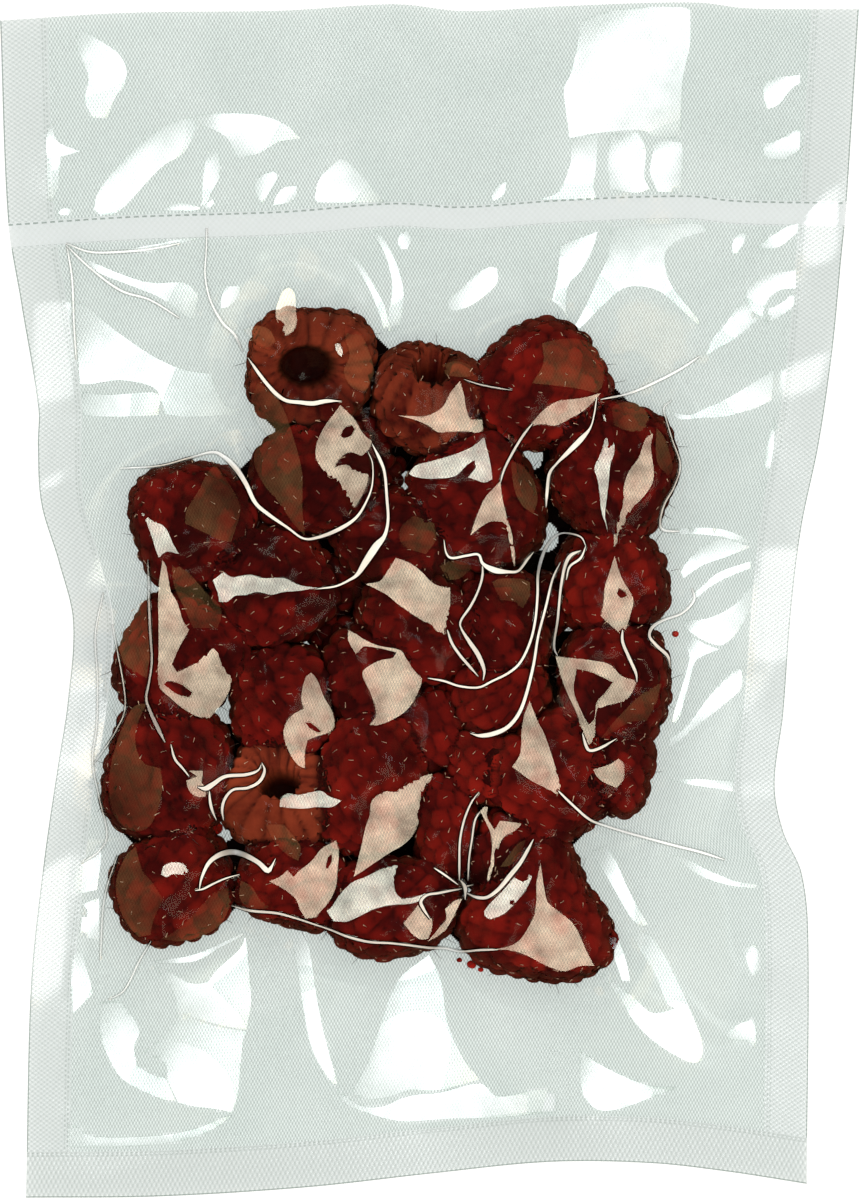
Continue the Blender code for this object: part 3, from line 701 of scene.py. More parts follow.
# Spans of the film beside the fruit, which lean only a little and so show the low lamp.
FLATS = [
    [28, -44, 30.8, -43, 32.6, -45.7, 34.3, -49.6, 36.4, -53.8, 38.2, -56.7, 36.8, -57.2, 34.7, -54.8, 32.6,
     -51.2, 30.5, -47.5],
    [26.3, 100.8, 30.3, 102.5, 37.1, 103.4, 43.9, 103.5, 45.5, 103, 45.5, 97.1, 44.4, 92, 44.1, 88.7, 43.9,
     84.2, 44.1, 80.7, 39.4, 81, 36.8, 82.1, 29.8, 81.7, 24.5, 80.7, 24, 84.2, 23.5, 89.1, 24.5, 91.5, 25.2,
     93.9, 25.8, 96.7],
    [31.7, 65.1, 38.9, 65.5, 46.7, 65.7, 48.6, 64.4, 43.7, 63, 41.3, 60.8, 41.3, 57.8, 42.7, 54.3, 46.7,
     49.4, 47.1, 48, 43.7, 51, 40.4, 53.8, 36.9, 54.8, 33.6, 54.3, 30.1, 51.3, 26.3, 47.5, 25.2, 47.5, 27.3,
     51.3, 29.2, 55.7, 31.2, 60.2],
    [-0.1, -62, -5.5, -66.4, -8.3, -73.5, -10.7, -80.8, -13.5, -85.6, -11.8, -87, -7.8, -87, -3.4, -85.6,
     1.8, -85.6, 8.8, -83.8, 5.8, -80, 3.1, -73.7, 2, -66.4],
    [-62.6, 52.2, -59.6, 51, -54, 46.4, -47.4, 42.1, -42.7, 40.2, -38.2, 39.5, -37.3, 36.7, -35.7, 34,
     -33.3, 33.2, -33.1, 32.5, -41.8, 32, -46.2, 32.5, -47.1, 35.6, -48.8, 37.4, -54, 38.4, -59.3, 37.7,
     -61, 37.7, -61.6, 45, -62.1, 50.3],
    [36.4, -57.6, 38.9, -59, 41.3, -62.5, 43.7, -67.4, 45.7, -72.1, 47.6, -77, 47.6, -80.5, 45.7, -80.8,
     41.8, -78.9, 38, -76.1, 35, -72.6, 33.1, -69.3, 29.2, -65, 28.7, -63.9, 31.7, -66.4, 35.5, -69.3, 38.9,
     -72.1, 42.9, -71.4, 41.3, -70.2, 39.9, -66.4, 38, -63, 36.1, -60.1],
    [-63.1, 61.8, -60.7, 59.9, -53.9, 56.9, -48.6, 55.4, -42.9, 55.4, -40.4, 53.4, -40.8, 49.4, -42.3, 49.4,
     -46.7, 52.6, -51.9, 54.8, -58.2, 57.3, -61.7, 59.9],
    [-53.5, 61.1, -48.6, 62, -43.7, 63, -39, 63.4, -43.7, 62.3, -46.7, 61.3, -49.5, 60.8, -53.9, 60.8],
    [-60.5, 36.3, -55.8, 35.8, -48.8, 36.3, -46.9, 35.6, -47.4, 32.3, -55.8, 32, -60.3, 32.3, -60.7, 34.9],
    [-36.4, 51, -36.4, 52.4, -35.7, 54.8, -33.1, 54.8, -33.3, 52.9, -35, 51.3],
    [-14.6, 59.9, -12.7, 58.1, -11.1, 55.4, -9.9, 52.9, -8.8, 50.1, -7.9, 47.1, -6.7, 47, -7.9, 51.5, -9.5,
     54.5, -11.1, 57.3, -12.7, 59.7, -14.2, 61.1],
    [-11.1, 64.6, -9.3, 64.4, -7.8, 62.7, -6.5, 60.4, -5.5, 58.1, -4.8, 55.4, -4.5, 53.1, -4.8, 50.1, -5.7,
     47.1, -6.9, 47, -7.2, 49.8, -6.7, 52.4, -6.5, 55, -6.9, 57.6, -7.8, 60.4, -9.2, 62.9],
    [-5, 64.6, -5.5, 62.5, -5, 61.3, -3.9, 61.3, -3.2, 63, -3.9, 64.4],
    [3.2, 51, 3.4, 52.6, 5.5, 54.3, 7.8, 56.7, 10.2, 58.1, 11.8, 58, 11.8, 55.4, 9.3, 52.9, 6.9, 51.3, 4.5,
     50.6],
    [22.8, 61.8, 25.4, 62.9, 29.4, 64.4, 28.4, 61.1, 26.3, 57.3, 24.4, 55.2, 23.8, 51.3, 24.5, 48.5, 23.3,
     50.6, 21.4, 52.4, 22.4, 56.7],
    [53, 60.6, 53, 62.5, 54.2, 64.4, 55.6, 64.4, 54.9, 62.5, 53.7, 60.6],
    [57.4, 61.8, 59.8, 63.6, 62.6, 65.3, 64.5, 65.7, 64, 64.1, 61.2, 61.8, 58.2, 61.3],
    [48.3, 42.6, 49.5, 45.7, 51.1, 47.5, 54.4, 51.9, 56.3, 52.7, 57.7, 49.2, 53.2, 45.6, 50, 43.8],
    [55.1, 53.1, 55.8, 54.7, 58.2, 56.7, 64, 57.6, 64, 54.5, 61.2, 54.1, 59.1, 52.4, 58.2, 49.6, 56.7,
     50.3],
    [63.8, 53.8, 63.5, 51.3, 61.2, 49.6, 58.6, 48.4, 59.3, 51, 61.2, 51.7],
    [42, 33, 45.3, 32.3, 48.3, 33.5, 51.8, 35.1, 56.5, 37.9, 60.2, 40.3, 59.8, 34.9, 56.5, 33.4, 51.8, 32.1,
     47.4, 31.8, 43.7, 31.6],
    [58.4, 23.2, 58.9, 26.2, 60.3, 32, 60.2, 27.2, 59.5, 22.9],
    [42, 12.4, 49.3, 12.6, 53.2, 11.7, 56.3, 10.1, 55.1, 10, 51.2, 11, 46.9, 11.5, 42.5, 11.5],
    [56.3, 9.3, 51.8, 7.5, 47.8, 6.1, 44.4, 3.8, 43.9, 4.9, 45, 6.8, 47.8, 9.3, 51.2, 10.7, 55.1, 9.6],
    [46.2, 1, 48.3, 3, 50.7, 4.9, 56.1, 6.8, 56.1, 5.6, 50.7, 3.3, 47.4, 1, 45, -1.4, 43.4, -3],
    [56, 2.6, 53.7, -0.5, 49.3, -3, 44.4, -3.7, 45, -5.1, 47.8, -7, 50.7, -7.9, 53.2, -6.3, 55.6, -2.4,
     56.3, 0.7],
    [45, -5.6, 47.8, -7.5, 50.7, -8.6, 46.9, -10.3, 45.8, -12.7, 43.9, -19.9, 43, -21.5, 42.5, -20.4, 45,
     -12.2, 45.3, -9.3, 43.7, -7.3],
    [42, -24.3, 45, -22, 48.3, -17.6, 51.8, -13.6, 54, -12, 54.6, -12.4, 54.4, -15.4, 51.8, -18, 47.4,
     -21.5, 43.4, -24.8, 42, -25.8],
    [42, -31.4, 46.9, -31.3, 53, -31.6, 53, -33.5, 50.7, -33, 45.8, -32.3],
    [42, -44.5, 45, -45.2, 48.8, -47.3, 53.7, -49.2, 57.5, -49.8, 56.5, -50.3, 52.6, -49.9, 47.8, -48.4,
     43.9, -45.9],
    [55.1, -60.8, 57.2, -60.1, 57.5, -64.6, 56.5, -65.7, 55.6, -63.6],
    [30.8, -58, 32.7, -58.3, 34.3, -62.9, 35, -66.4, 33.6, -66.4, 32.2, -62.2],
    [51.9, -76.1, 53.5, -74.4, 56.3, -73.3, 57, -75.1, 57, -78.4, 55.4, -77, 52.5, -76.8],
    [26.3, -78.4, 29.2, -80.8, 34, -83.3, 38.9, -85, 43.2, -85.2, 40.4, -86.3, 34, -88.7, 30.1, -89.2, 27.7,
     -87.7, 26.5, -84.9],
    [-24.2, -57.6, -21.7, -57.6, -20.7, -62.5, -19.5, -70.7, -18.1, -77, -16, -84.7, -17.5, -83.8, -20.5,
     -78.4, -21.9, -72.1, -23, -65],
    [-16.7, -85, -14.8, -86.6, -11.8, -88.4, -8.3, -88.5, -5, -87.1, -1.7, -86.4, 1.8, -86.1, 8.8, -84.5,
     12.1, -86.8, 19.5, -85.6, 22.1, -86.8, 22.1, -89.4, 12.1, -90.4, 3.6, -90.6, -5.2, -91, -11.8, -89.2,
     -14.6, -88],
    [-57.4, -70.2, -54.2, -70, -51.6, -73.2, -50.7, -75.6, -51.6, -78.1, -51.1, -81.4, -48.1, -83.1, -46,
     -83.8, -44.4, -87.5, -47.2, -87, -53.5, -83.8, -56.3, -79.4, -57.5, -75.6],
    [-48.1, -63.9, -46.5, -64.3, -44.8, -65.3, -41.8, -66.9, -38.9, -66.7, -36.9, -64.4, -33.1, -60.9,
     -32.2, -58.8, -31.9, -60.6, -31.3, -67.4, -31.2, -70.7, -32, -75.1, -37.5, -74, -44.1, -71.9, -44.1,
     -70.4, -45.1, -67.4, -47.2, -65],
    [-48.1, -63, -40.8, -61.8, -32.4, -58, -32.9, -58.8, -36.4, -60.6, -40.8, -63, -46.4, -63.4],
    [-44.1, -72.3, -37.5, -74.4, -32, -75.4, -32.6, -77, -33.1, -81.9, -33.6, -87.1, -34.7, -89.6, -36.2,
     -89.1, -40.8, -88.5, -43.9, -87.8, -45.7, -83.8, -45.8, -81.9, -46.7, -80.5, -49.9, -78.9, -46.7,
     -76.5, -44.3, -73.7],
    [-36.9, -90.8, -34.5, -90.1, -38, -92.5, -43.7, -94.5, -53.9, -95.5, -63.1, -95.5, -63.1, -91.5, -61.7,
     -92, -58.2, -93.8, -47.2, -93.6, -40.8, -92.4],
    [-62.4, -62, -60.7, -61.5, -59.3, -66.4, -58.8, -68.8, -62.2, -72.1, -62.6, -67.4],
    [-57.4, -43, -61.6, -47.3, -62.1, -50.6, -61, -51.2, -58.1, -50.6, -57.4, -45.7],
    [-60.5, -53.1, -57.7, -52, -57.7, -59.4, -61, -58.8],
    [-58.6, 68.3, -57.9, 71.2, -55.4, 74.6, -52.3, 78.2, -49.2, 81, -45.3, 83.3, -41.5, 84.3, -40.6, 82.8,
     -42.9, 78.2, -46.2, 76.1, -49.2, 73.3, -54, 68.1, -57.5, 67.2],
    [-40.8, 84.7, -35.9, 85, -29.8, 84.7, -25.2, 83.1, -22.6, 80.7, -26.3, 80.1, -29.8, 78.1, -33.6, 77.2,
     -34.5, 79.3, -35.7, 81, -38.3, 82.4, -40.2, 82.9],
    [-38.9, 78.2, -36.9, 78.9, -36.6, 76, -36.8, 73.7, -38.2, 71.2, -39, 69.3, -39.9, 69, -39.7, 71.6,
     -39.4, 75.1],
    [-60.9, 99.9, -58.1, 98.1, -54.4, 95.5, -53, 92.9, -53.2, 90.4, -54.9, 87.8, -56.3, 84.3, -58.9, 84.3,
     -60.2, 87.3, -59.6, 91, -60.2, 93.4, -61.7, 96.6, -61.6, 98.7],
    [-67, 80.1, -66.4, 83.1, -65.9, 83.1, -65, 80.1, -61.2, 78.4, -64.5, 77.4, -64.9, 72.3, -65.9, 69.5,
     -66.6, 70.4, -66.8, 76.8],
    [24.7, 80.3, 29.4, 81.4, 29.1, 75.6, 28.7, 72.3, 29.2, 70, 19.3, 70, 22.4, 71.2, 23.8, 73.7, 24.7,
     76.8],
    [31.5, 81.4, 36.4, 81.7, 37.8, 78.6, 37.5, 74.2, 38.5, 71.9, 36.1, 71.2, 31.5, 71.8, 31.2, 75.6],
    [39.5, 80.3, 44.1, 80, 44.3, 76.8, 43.7, 71.1, 39.9, 71.4, 39.4, 72.6, 38.5, 75.1],
    [58.4, 89.9, 59.6, 91.1, 64.7, 91.8, 64.7, 90.3, 63.3, 89.4, 61.2, 86.8, 59.1, 85.7, 58.4, 87.8],
    [58.1, 79.6, 60.7, 80.3, 64.7, 82.6, 64.7, 79.1, 64.3, 78.4, 62.8, 77.5, 61.7, 76.8, 58.6, 77.5],
    [-16.2, 76.7, -19.1, 73.7, -20, 70.5, -19.5, 69.5, -7.9, 69.5, -10.2, 72.3, -13.2, 75.6, -15.1, 77.2],
    [-30.6, 72.8, -29.8, 74, -27.3, 74.9, -26.3, 74.2, -27.7, 71.8, -29.2, 69.3, -30.1, 70.4],
    [-26.8, 70.5, -25.4, 72.1, -23.3, 72.3, -23, 70.9, -24.4, 69.5, -27.3, 69],
    [-46.7, 68.1, -44.3, 69.3, -41.8, 69.1, -40.1, 68.6, -40.9, 68.1],
    [-39.4, 68.3, -38.9, 69.3, -37.8, 70, -37.6, 69.3, -38.9, 68.1],
    [-65, 67.4, -64.3, 68.4, -63.1, 68.4, -62.2, 68.1, -63.1, 67.2],
    [10.6, 70.2, 11.8, 72.3, 13.4, 73.2, 13, 70.9, 11.3, 69.8],
]
SPANS += [("low", outline) for outline in FLATS]
# Swells along the welds, each a slope that faces the low lamp.
SWELLS = [
    [-69.4, 52.4, -62.4, 52.4, -61.7, 34.9, -68.7, 34.6],
    [-68, 21.3, -63.5, 22.7, -64.5, 19.9, -67.3, 18.9],
    [-67.3, -47.1, -62.4, -43.7, -63.1, -53.3, -63.8, -68.1, -69.8, -69.8, -68.7, -52.4],
    [65.6, 67.2, 71.3, 73.3, 71.7, 65.5, 71, 59, 65.9, 58],
    [61.2, 40.5, 69.6, 43.7, 68.5, 37, 61.2, 34.9],
    [57.5, 9.1, 64.2, 9.1, 63.3, -10.5, 57, -11.2],
    [54.2, -31.6, 60.3, -32.7, 60, -34.9, 54.2, -33.9],
]
# Where the pump drew the film right down between berries.
PITS = [(5.7, -49.8), (-5.2, 18.9), (20.2, 10.5), (-34.5, -18.3), (-36.2, -39.8), (-1.7, -27.1),
        (22.8, -6.1)]

FLATS_LIE = 0.45  # the front film's height on the flats
LIFTED, LIFTED_REACH = 0.8, 14  # how much higher it lies beside the fruit, and for how far
PRESSED_IN = 0.9  # how far the film may press the fruit's top in
PIT_WIDE, PIT_TOP = 0.9, 4.0
ANY_HEIGHT = 99.0
PULL_ROUNDS, PULL = 600, 0.012  # of drawing the film tight, and how much it bends down in each
TURNED_FROM_LAMP = 2.5  # degrees that film outside a facet keeps clear of a lamp

RASTER = 0.3  # between the places at which the film's height is worked out
RASTER_WIDE, RASTER_LONG = 78.0, 108.0
across = np.arange(-RASTER_WIDE, RASTER_WIDE, RASTER)
along = np.arange(-RASTER_LONG, RASTER_LONG, RASTER)
rx, ry = np.meshgrid(across, along, indexing="ij")


def curve_through(points, share):
    """The value at each share of a smooth line through points."""
    at, value = np.array(points).T
    share = np.clip(share, at[0], at[-1])
    k = np.clip(np.searchsorted(at, share, side="right") - 1, 0, len(at) - 2)
    before, after = np.maximum(k - 1, 0), np.minimum(k + 2, len(at) - 1)
    slope_a = (value[k + 1] - value[before]) / (at[k + 1] - at[before])
    slope_b = (value[after] - value[k]) / (at[after] - at[k])
    length = at[k + 1] - at[k]
    u = (share - at[k]) / length
    rise = length * (slope_a * u * (1 - u) ** 2 - slope_b * u**2 * (1 - u))
    return value[k] + (value[k + 1] - value[k]) * u * u * (3 - 2 * u) + rise


def plan(s, r):
    """Where the flat bag's share s across and r along lies, once the fruit has drawn it in."""
    t = r + SEAL_TILT * (s - 0.5) * np.minimum(r / SEAL_LOW, (1 - r) / (1 - SEAL_HIGH))
    left, right = curve_through(LEFT_EDGE, t), curve_through(RIGHT_EDGE, t)
    foot, mouth = curve_through(FOOT_EDGE, s), curve_through(MOUTH_EDGE, s)
    return left + (right - left) * s, foot + (mouth - foot) * t


def from_fruit(x, y):
    """About how far each place is from the nearest berry, or 0 on it."""
    gap = np.full(x.shape, 1e9)
    for berry in BERRIES:
        out = np.hypot(*in_berry(x, y, berry))
        gap = np.minimum(gap, (out - 1) * 0.5 * (berry[2] + berry[3]))
    return np.maximum(gap, 0)


def skin_tops():
    """The height of the fruit's real top over the raster, bead by bead, or -1 beside it."""
    heights = np.full(rx.size, -1.0)
    for skin in fruit_skins:
        a, b, c, d = (skin[BALL_FACES[:, k]] for k in range(4))
        for u in (1 / 6, 3 / 6, 5 / 6):
            for v in (1 / 6, 3 / 6, 5 / 6):
                p = (a * (1 - u) + b * u) * (1 - v) + (d * (1 - u) + c * u) * v
                i = np.round((p[:, 0] + RASTER_WIDE) / RASTER).astype(int)
                j = np.round((p[:, 1] + RASTER_LONG) / RASTER).astype(int)
                np.maximum.at(heights, i * len(along) + j, p[:, 2])
    return heights.reshape(rx.shape)


def widened(mask, times):
    """A mask grown by so many places all round."""
    for _ in range(times):
        m = np.pad(mask, 1)
        mask = m[1:-1, 1:-1] | m[:-2, 1:-1] | m[2:, 1:-1] | m[1:-1, :-2] | m[1:-1, 2:]
    return mask


def smooth_outline(corners, steps=5, sharp=50):
    """A smooth closed line through corners, which keeps those that turn by more than sharp."""
    p = np.array(corners, float).reshape(-1, 2)
    ahead, behind = np.roll(p, -1, 0) - p, p - np.roll(p, 1, 0)
    turn = np.degrees(np.angle((ahead[:, 0] + 1j * ahead[:, 1])
                               / (behind[:, 0] + 1j * behind[:, 1] + 1e-12)))
    tip = np.abs(turn) > sharp
    outline = []
    for k, (a, b) in enumerate(zip(p, np.roll(p, -1, 0))):
        after = (k + 1) % len(p)
        leave = ahead[k] if tip[k] else 0.5 * (ahead[k] + behind[k])
        arrive = ahead[k] if tip[after] else 0.5 * (ahead[after] + ahead[k])
        for u in np.arange(steps) / steps:
            outline.append(a * (1 + 2 * u) * (1 - u) ** 2 + b * u * u * (3 - 2 * u)
                           + leave * u * (1 - u) ** 2 - arrive * u * u * (1 - u))
    return np.array(outline)


def is_inside(outline, x, y):
    """Whether each place is inside a closed outline."""
    inside = np.zeros(x.shape, bool)
    for a, b in zip(outline, np.roll(outline, -1, 0)):
        crosses = (a[1] > y) != (b[1] > y)
        inside ^= crosses & (x < (b[0] - a[0]) * (y - a[1]) / (b[1] - a[1] + 1e-12) + a[0])
    return inside


def inside_of(outline):
    """The part of the raster that holds an outline, and which of its places are inside."""
    low, high = outline.min(0) - 1, outline.max(0) + 1
    part = (slice(*np.searchsorted(across, (low[0], high[0]))),
            slice(*np.searchsorted(along, (low[1], high[1]))))
    return part, is_inside(outline, rx[part], ry[part])


def softened(grid, times):
    """A grid in which each place was blended so many times with those beside it."""
    for _ in range(times):
        g = np.pad(grid, 1, mode="edge")
        g = (g[:-2] + 2 * g[1:-1] + g[2:]) / 4
        grid = (g[:, :-2] + 2 * g[:, 1:-1] + g[:, 2:]) / 4
    return grid


def leaning(azimuth, degrees):
    """The slope of a film that faces azimuth and leans by degrees."""
    lean = math.tan(math.radians(degrees))
    return lean * math.cos(math.radians(azimuth)), lean * math.sin(math.radians(azimuth))


# A lamp and a camera at a distance see each place of the film a little differently.
parallax = -0.5 * MM * (1 / CAMERA_AWAY + 1 / (LAMPS_AWAY * math.cos(math.radians(30))))
shift_x, shift_y = parallax * rx, parallax * ry


def turned_from(lean_x, lean_y, azimuth, polar, half):
    """Slopes turned the shortest way out of those in which one lamp would show."""
    dx, dy = math.cos(math.radians(azimuth)), math.sin(math.radians(azimuth))
    u = (lean_x - shift_x) * dx + (lean_y - shift_y) * dy
    v = -(lean_x - shift_x) * dy + (lean_y - shift_y) * dx
    low = math.tan(math.radians((polar - half) / 2 - TURNED_FROM_LAMP))
    high = math.tan(math.radians((polar + half) / 2 + TURNED_FROM_LAMP))
    wide = math.tan(math.radians(half / 2 + TURNED_FROM_LAMP))
    shows = (u > low) & (u < high) & (np.abs(v) < wide)
    nearest = np.stack([u - low, high - u, wide - np.abs(v)]).argmin(0)
    u = np.where(shows & (nearest == 0), low, np.where(shows & (nearest == 1), high, u))
    v = np.where(shows & (nearest == 2), np.sign(v + 1e-9) * wide, v)
    return u * dx - v * dy + shift_x, u * dy + v * dx + shift_y


def turned_from_lamps(lean_x, lean_y):
    """Slopes turned out of those in which any of the lamps would show."""
    for azimuth, polar, half in WINDOWS.values():
        lean_x, lean_y = turned_from(lean_x, lean_y, azimuth, polar, half)
    return lean_x, lean_y


def halved(grid):
    """A grid with half as many places each way."""
    return grid.reshape(grid.shape[0] // 2, 2, grid.shape[1] // 2, 2).mean((1, 3))


def doubled(grid, shape):
    """A grid of twice as many places each way, of this shape."""
    i = np.clip((np.arange(shape[0]) + 0.5) / 2 - 0.5, 0, grid.shape[0] - 1.001)
    j = np.clip((np.arange(shape[1]) + 0.5) / 2 - 0.5, 0, grid.shape[1] - 1.001)
    a, b = i.astype(int), j.astype(int)
    fi, fj = (i - a)[:, None], (j - b)[None, :]
    low = grid[a][:, b] * (1 - fi) + grid[a + 1][:, b] * fi
    high = grid[a][:, b + 1] * (1 - fi) + grid[a + 1][:, b + 1] * fi
    return low * (1 - fj) + high * fj


def surface_with(slope_x, slope_y, weight, start, hold, passes=(260, 200, 150, 120)):
    """The heights whose slopes come nearest to those asked for, held to start by hold."""
    levels = [(start, slope_x, slope_y, weight, hold, RASTER)]
    for _ in range(3):
        z, gx, gy, w, held, step = levels[-1]
        thin = halved(w)
        levels.append((halved(z), halved(gx * w) / thin, halved(gy * w) / thin, thin,
                       halved(held), step * 2))
    height = levels[-1][0]
    for level in (3, 2, 1, 0):
        z, gx, gy, w, held, step = levels[level]
        if level < 3:
            height = z + doubled(height - levels[level + 1][0], z.shape)
        wx, wy = 0.5 * (w[1:] + w[:-1]), 0.5 * (w[:, 1:] + w[:, :-1])
        rise_x = wx * 0.5 * (gx[1:] + gx[:-1]) * step
        rise_y = wy * 0.5 * (gy[:, 1:] + gy[:, :-1]) * step
        total, fixed = held * step**2, held * step**2 * z
        for part, link, rise in ((np.s_[:-1], wx, -rise_x), (np.s_[1:], wx, rise_x),
                                 (np.s_[:, :-1], wy, -rise_y), (np.s_[:, 1:], wy, rise_y)):
            total[part] += link
            fixed[part] += rise
        for _ in range(passes[level]):
            pull = fixed.copy()
            pull[:-1] += wx * height[1:]
            pull[1:] += wx * height[:-1]
            pull[:, :-1] += wy * height[:, 1:]
            pull[:, 1:] += wy * height[:, :-1]
            height = height + 0.9 * (pull / total - height)
    return height


gap = from_fruit(rx, ry)
beads = skin_tops()
on_fruit = beads > 0
near_fruit = widened(on_fruit, 2)
rim_of_fruit = widened(on_fruit, 4) & widened(~on_fruit, 4)
lying = LIFTED * np.exp(-((gap / LIFTED_REACH) ** 1.5)) + FLATS_LIE
lowest = np.maximum(beads - PRESSED_IN, lying)
highest = np.where(near_fruit, ANY_HEIGHT, lying + 0.02)
for pit_x, pit_y in PITS:
    sunk = np.hypot(rx - pit_x, ry - pit_y) < PIT_WIDE
    highest = np.where(sunk, np.minimum(highest, PIT_TOP), highest)
highest = np.maximum(highest, lowest)
drawn = lowest.copy()
for _ in range(PULL_ROUNDS):
    middle = drawn[:-2, 1:-1] + drawn[2:, 1:-1] + drawn[1:-1, :-2] + drawn[1:-1, 2:]
    drawn[1:-1, 1:-1] = middle / 4 - PULL * RASTER**2
    drawn = np.clip(drawn, lowest, highest)

lean_x, lean_y = turned_from_lamps(*(-g for g in np.gradient(softened(drawn, 6), RASTER)))
flat_x, flat_y = leaning(WINDOWS["broad"][0], -1.0)
lean_x = np.where(near_fruit, lean_x, flat_x + shift_x)
lean_y = np.where(near_fruit, lean_y, flat_y + shift_y)
stiffness = np.where(near_fruit, 2.0, 1.0)
chosen = np.zeros(rx.shape, bool)  # where a swell or a flat span sets the film's slope


# Which way film must face, and by how many degrees it must lean, for each lamp to show in it.
FACING = {"broad": (-40, 14), "low": (-40, 5.0), "cool": (118, 21), "dim_right": (40, 16),
          "dim_left": (188, 20)}
SWELL_LEAN = 5.5
CHOSEN_STIFF, CLEARED_STIFF = 10, 6.0  # how firmly chosen slopes hold, and those turned away
HELD_ON_FRUIT, HELD_ON_FLATS, HELD_AT_RIM = 0.012, 0.002, 0.5
LOWEST_SPAN = 0.36
LOWEST_FILM, HIGHEST_FILM = 0.32, 17.3
CLEAR_ROUNDS = 3
WETTED = 0.04  # how much wetted film mirrors, as a share of what taut film does
WETTED_REACH = 9  # raster places beside the fruit over which that fades out


def set_lean(outline, azimuth, degrees):
    """Makes the film inside an outline a flat slope."""
    part, inside = inside_of(outline)
    to_x, to_y = leaning(azimuth, degrees)
    lean_x[part][inside] = to_x + shift_x[part][inside]
    lean_y[part][inside] = to_y + shift_y[part][inside]
    stiffness[part][inside] = CHOSEN_STIFF
    chosen[part] |= inside


def shows_lamp(raster):
    """Where a lamp shows in film whose slope isn't chosen, and the slopes that are clear of it."""
    now_x, now_y = (-g for g in np.gradient(raster, RASTER))
    clear_x, clear_y = turned_from_lamps(now_x, now_y)
    return ~chosen & (np.hypot(clear_x - now_x, clear_y - now_y) > 1e-6), clear_x, clear_y


for outline in SWELLS:
    set_lean(smooth_outline(outline), WINDOWS["low"][0], SWELL_LEAN)
beside_x, beside_y = softened(lean_x, 8), softened(lean_y, 8)
lean_x = np.where(gap > 3, beside_x, lean_x)
lean_y = np.where(gap > 3, beside_y, lean_y)
span_outlines = [smooth_outline(corners) for _, corners, *_ in SPANS]
for (lamp, *_), outline in zip(SPANS, span_outlines):
    set_lean(outline, *FACING[lamp])
hold = np.where(near_fruit, HELD_ON_FRUIT, HELD_ON_FLATS)
hold = np.where(rim_of_fruit, HELD_AT_RIM, hold)
film_raster = surface_with(-lean_x, -lean_y, stiffness, drawn, hold)
# Where the fitted film still shows a lamp outside its flat spans and swells, it is turned away.
for _ in range(CLEAR_ROUNDS):
    shows, clear_x, clear_y = shows_lamp(film_raster)
    lean_x, lean_y = np.where(shows, clear_x, lean_x), np.where(shows, clear_y, lean_y)
    stiffness = np.where(shows, CLEARED_STIFF, stiffness)
    film_raster = surface_with(-lean_x, -lean_y, stiffness, film_raster, hold * 0.3,
                               (60, 60, 80, 90))
film_raster = np.clip(film_raster, LOWEST_FILM, HIGHEST_FILM)

# The share that the film mirrors is painted by place: little where it lies wet against a berry, and little
# wherever the fitted film would still show a lamp outside its spans, which takes those reflections out;
# taut film and the flats mirror fully.
beside = np.zeros(rx.shape)
reached = on_fruit
for _ in range(WETTED_REACH):
    reached = widened(reached, 1)
    beside += ~reached / WETTED_REACH
stray_glints = softened(1.0 * widened(shows_lamp(film_raster)[0], 1), 2)
taut_raster = WETTED + (1 - WETTED) * beside**2 * np.clip(1 - 2.2 * stray_glints, 0, 1)

# Each flat span is one exact plane through the fitted film.
pressed_raster, outer_raster = film_raster.copy(), film_raster.copy()
span_planes = []
for (lamp, *_), outline in zip(SPANS, span_outlines):
    part, inside = inside_of(outline)
    to_x, to_y = leaning(*FACING[lamp])
    middle_x, middle_y = outline.mean(0)
    to_x += parallax * middle_x
    to_y += parallax * middle_y
    plane = -to_x * rx[part] - to_y * ry[part]
    level = np.median((film_raster[part] - plane)[inside])
    level += max(0.0, LOWEST_SPAN - (plane + level)[inside].min())
    plane += level
    span_planes.append((to_x, to_y, level))
    pressed_raster[part] = np.where(inside, np.minimum(film_raster[part], plane), film_raster[part])
    outer_raster[part] = np.where(inside, np.maximum(film_raster[part], plane), film_raster[part])


def film_height(x, y, raster=film_raster):
    """The front film's height at any place, on a smooth curve through the raster."""
    fx = np.clip((x + RASTER_WIDE) / RASTER, 1, raster.shape[0] - 3.001)
    fy = np.clip((y + RASTER_LONG) / RASTER, 1, raster.shape[1] - 3.001)
    i, j = fx.astype(int), fy.astype(int)
    total, weights = 0, []
    for u in (fx - i, fy - j):
        weights.append((0.5 * (-u**3 + 2 * u**2 - u), 0.5 * (3 * u**3 - 5 * u**2 + 2),
                        0.5 * (-3 * u**3 + 4 * u**2 + u), 0.5 * (u**3 - u**2)))
    for a in range(4):
        for b in range(4):
            total = total + weights[0][a] * weights[1][b] * raster[i + a - 1, j + b - 1]
    return total


def press_under_film(piece, space):
    """The film has pressed this piece flat: no point of it stands within space of the film."""
    mesh = piece.data
    points = np.empty(len(mesh.vertices) * 3, np.float32)
    mesh.vertices.foreach_get("co", points)
    points = points.reshape(-1, 3).astype(float)
    limit = (film_height(points[:, 0] / MM, points[:, 1] / MM, pressed_raster) - space) * MM
    points[:, 2] = np.maximum(np.minimum(points[:, 2], limit), 0.3 * MM)
    mesh.vertices.foreach_set("co", points.astype(np.float32).ravel())
    mesh.update()


for piece, space in ((ripe_berries, 0.22), (red_berries, 0.22), (hollow_berries, 0.22),
                     (loose_beads, 0.2), (berry_hairs, 0.1), (outer_hairs, 0.1)):
    press_under_film(piece, space)


# --------------------------------------
# The gap shade. A thin near-black sheet lies on the back film under the fruit and fills the narrow
# gaps between berries with painted shade, apart from a few gaps left open.
# --------------------------------------
SHADE_SHEET_LEVEL = 0.9
SHADE_SHEET_CLOSES = 11  # raster places: gaps up to twice this wide get the dark sheet
SHADE_SHEET_UNDER = 11  # raster places that it reaches in under the fruit
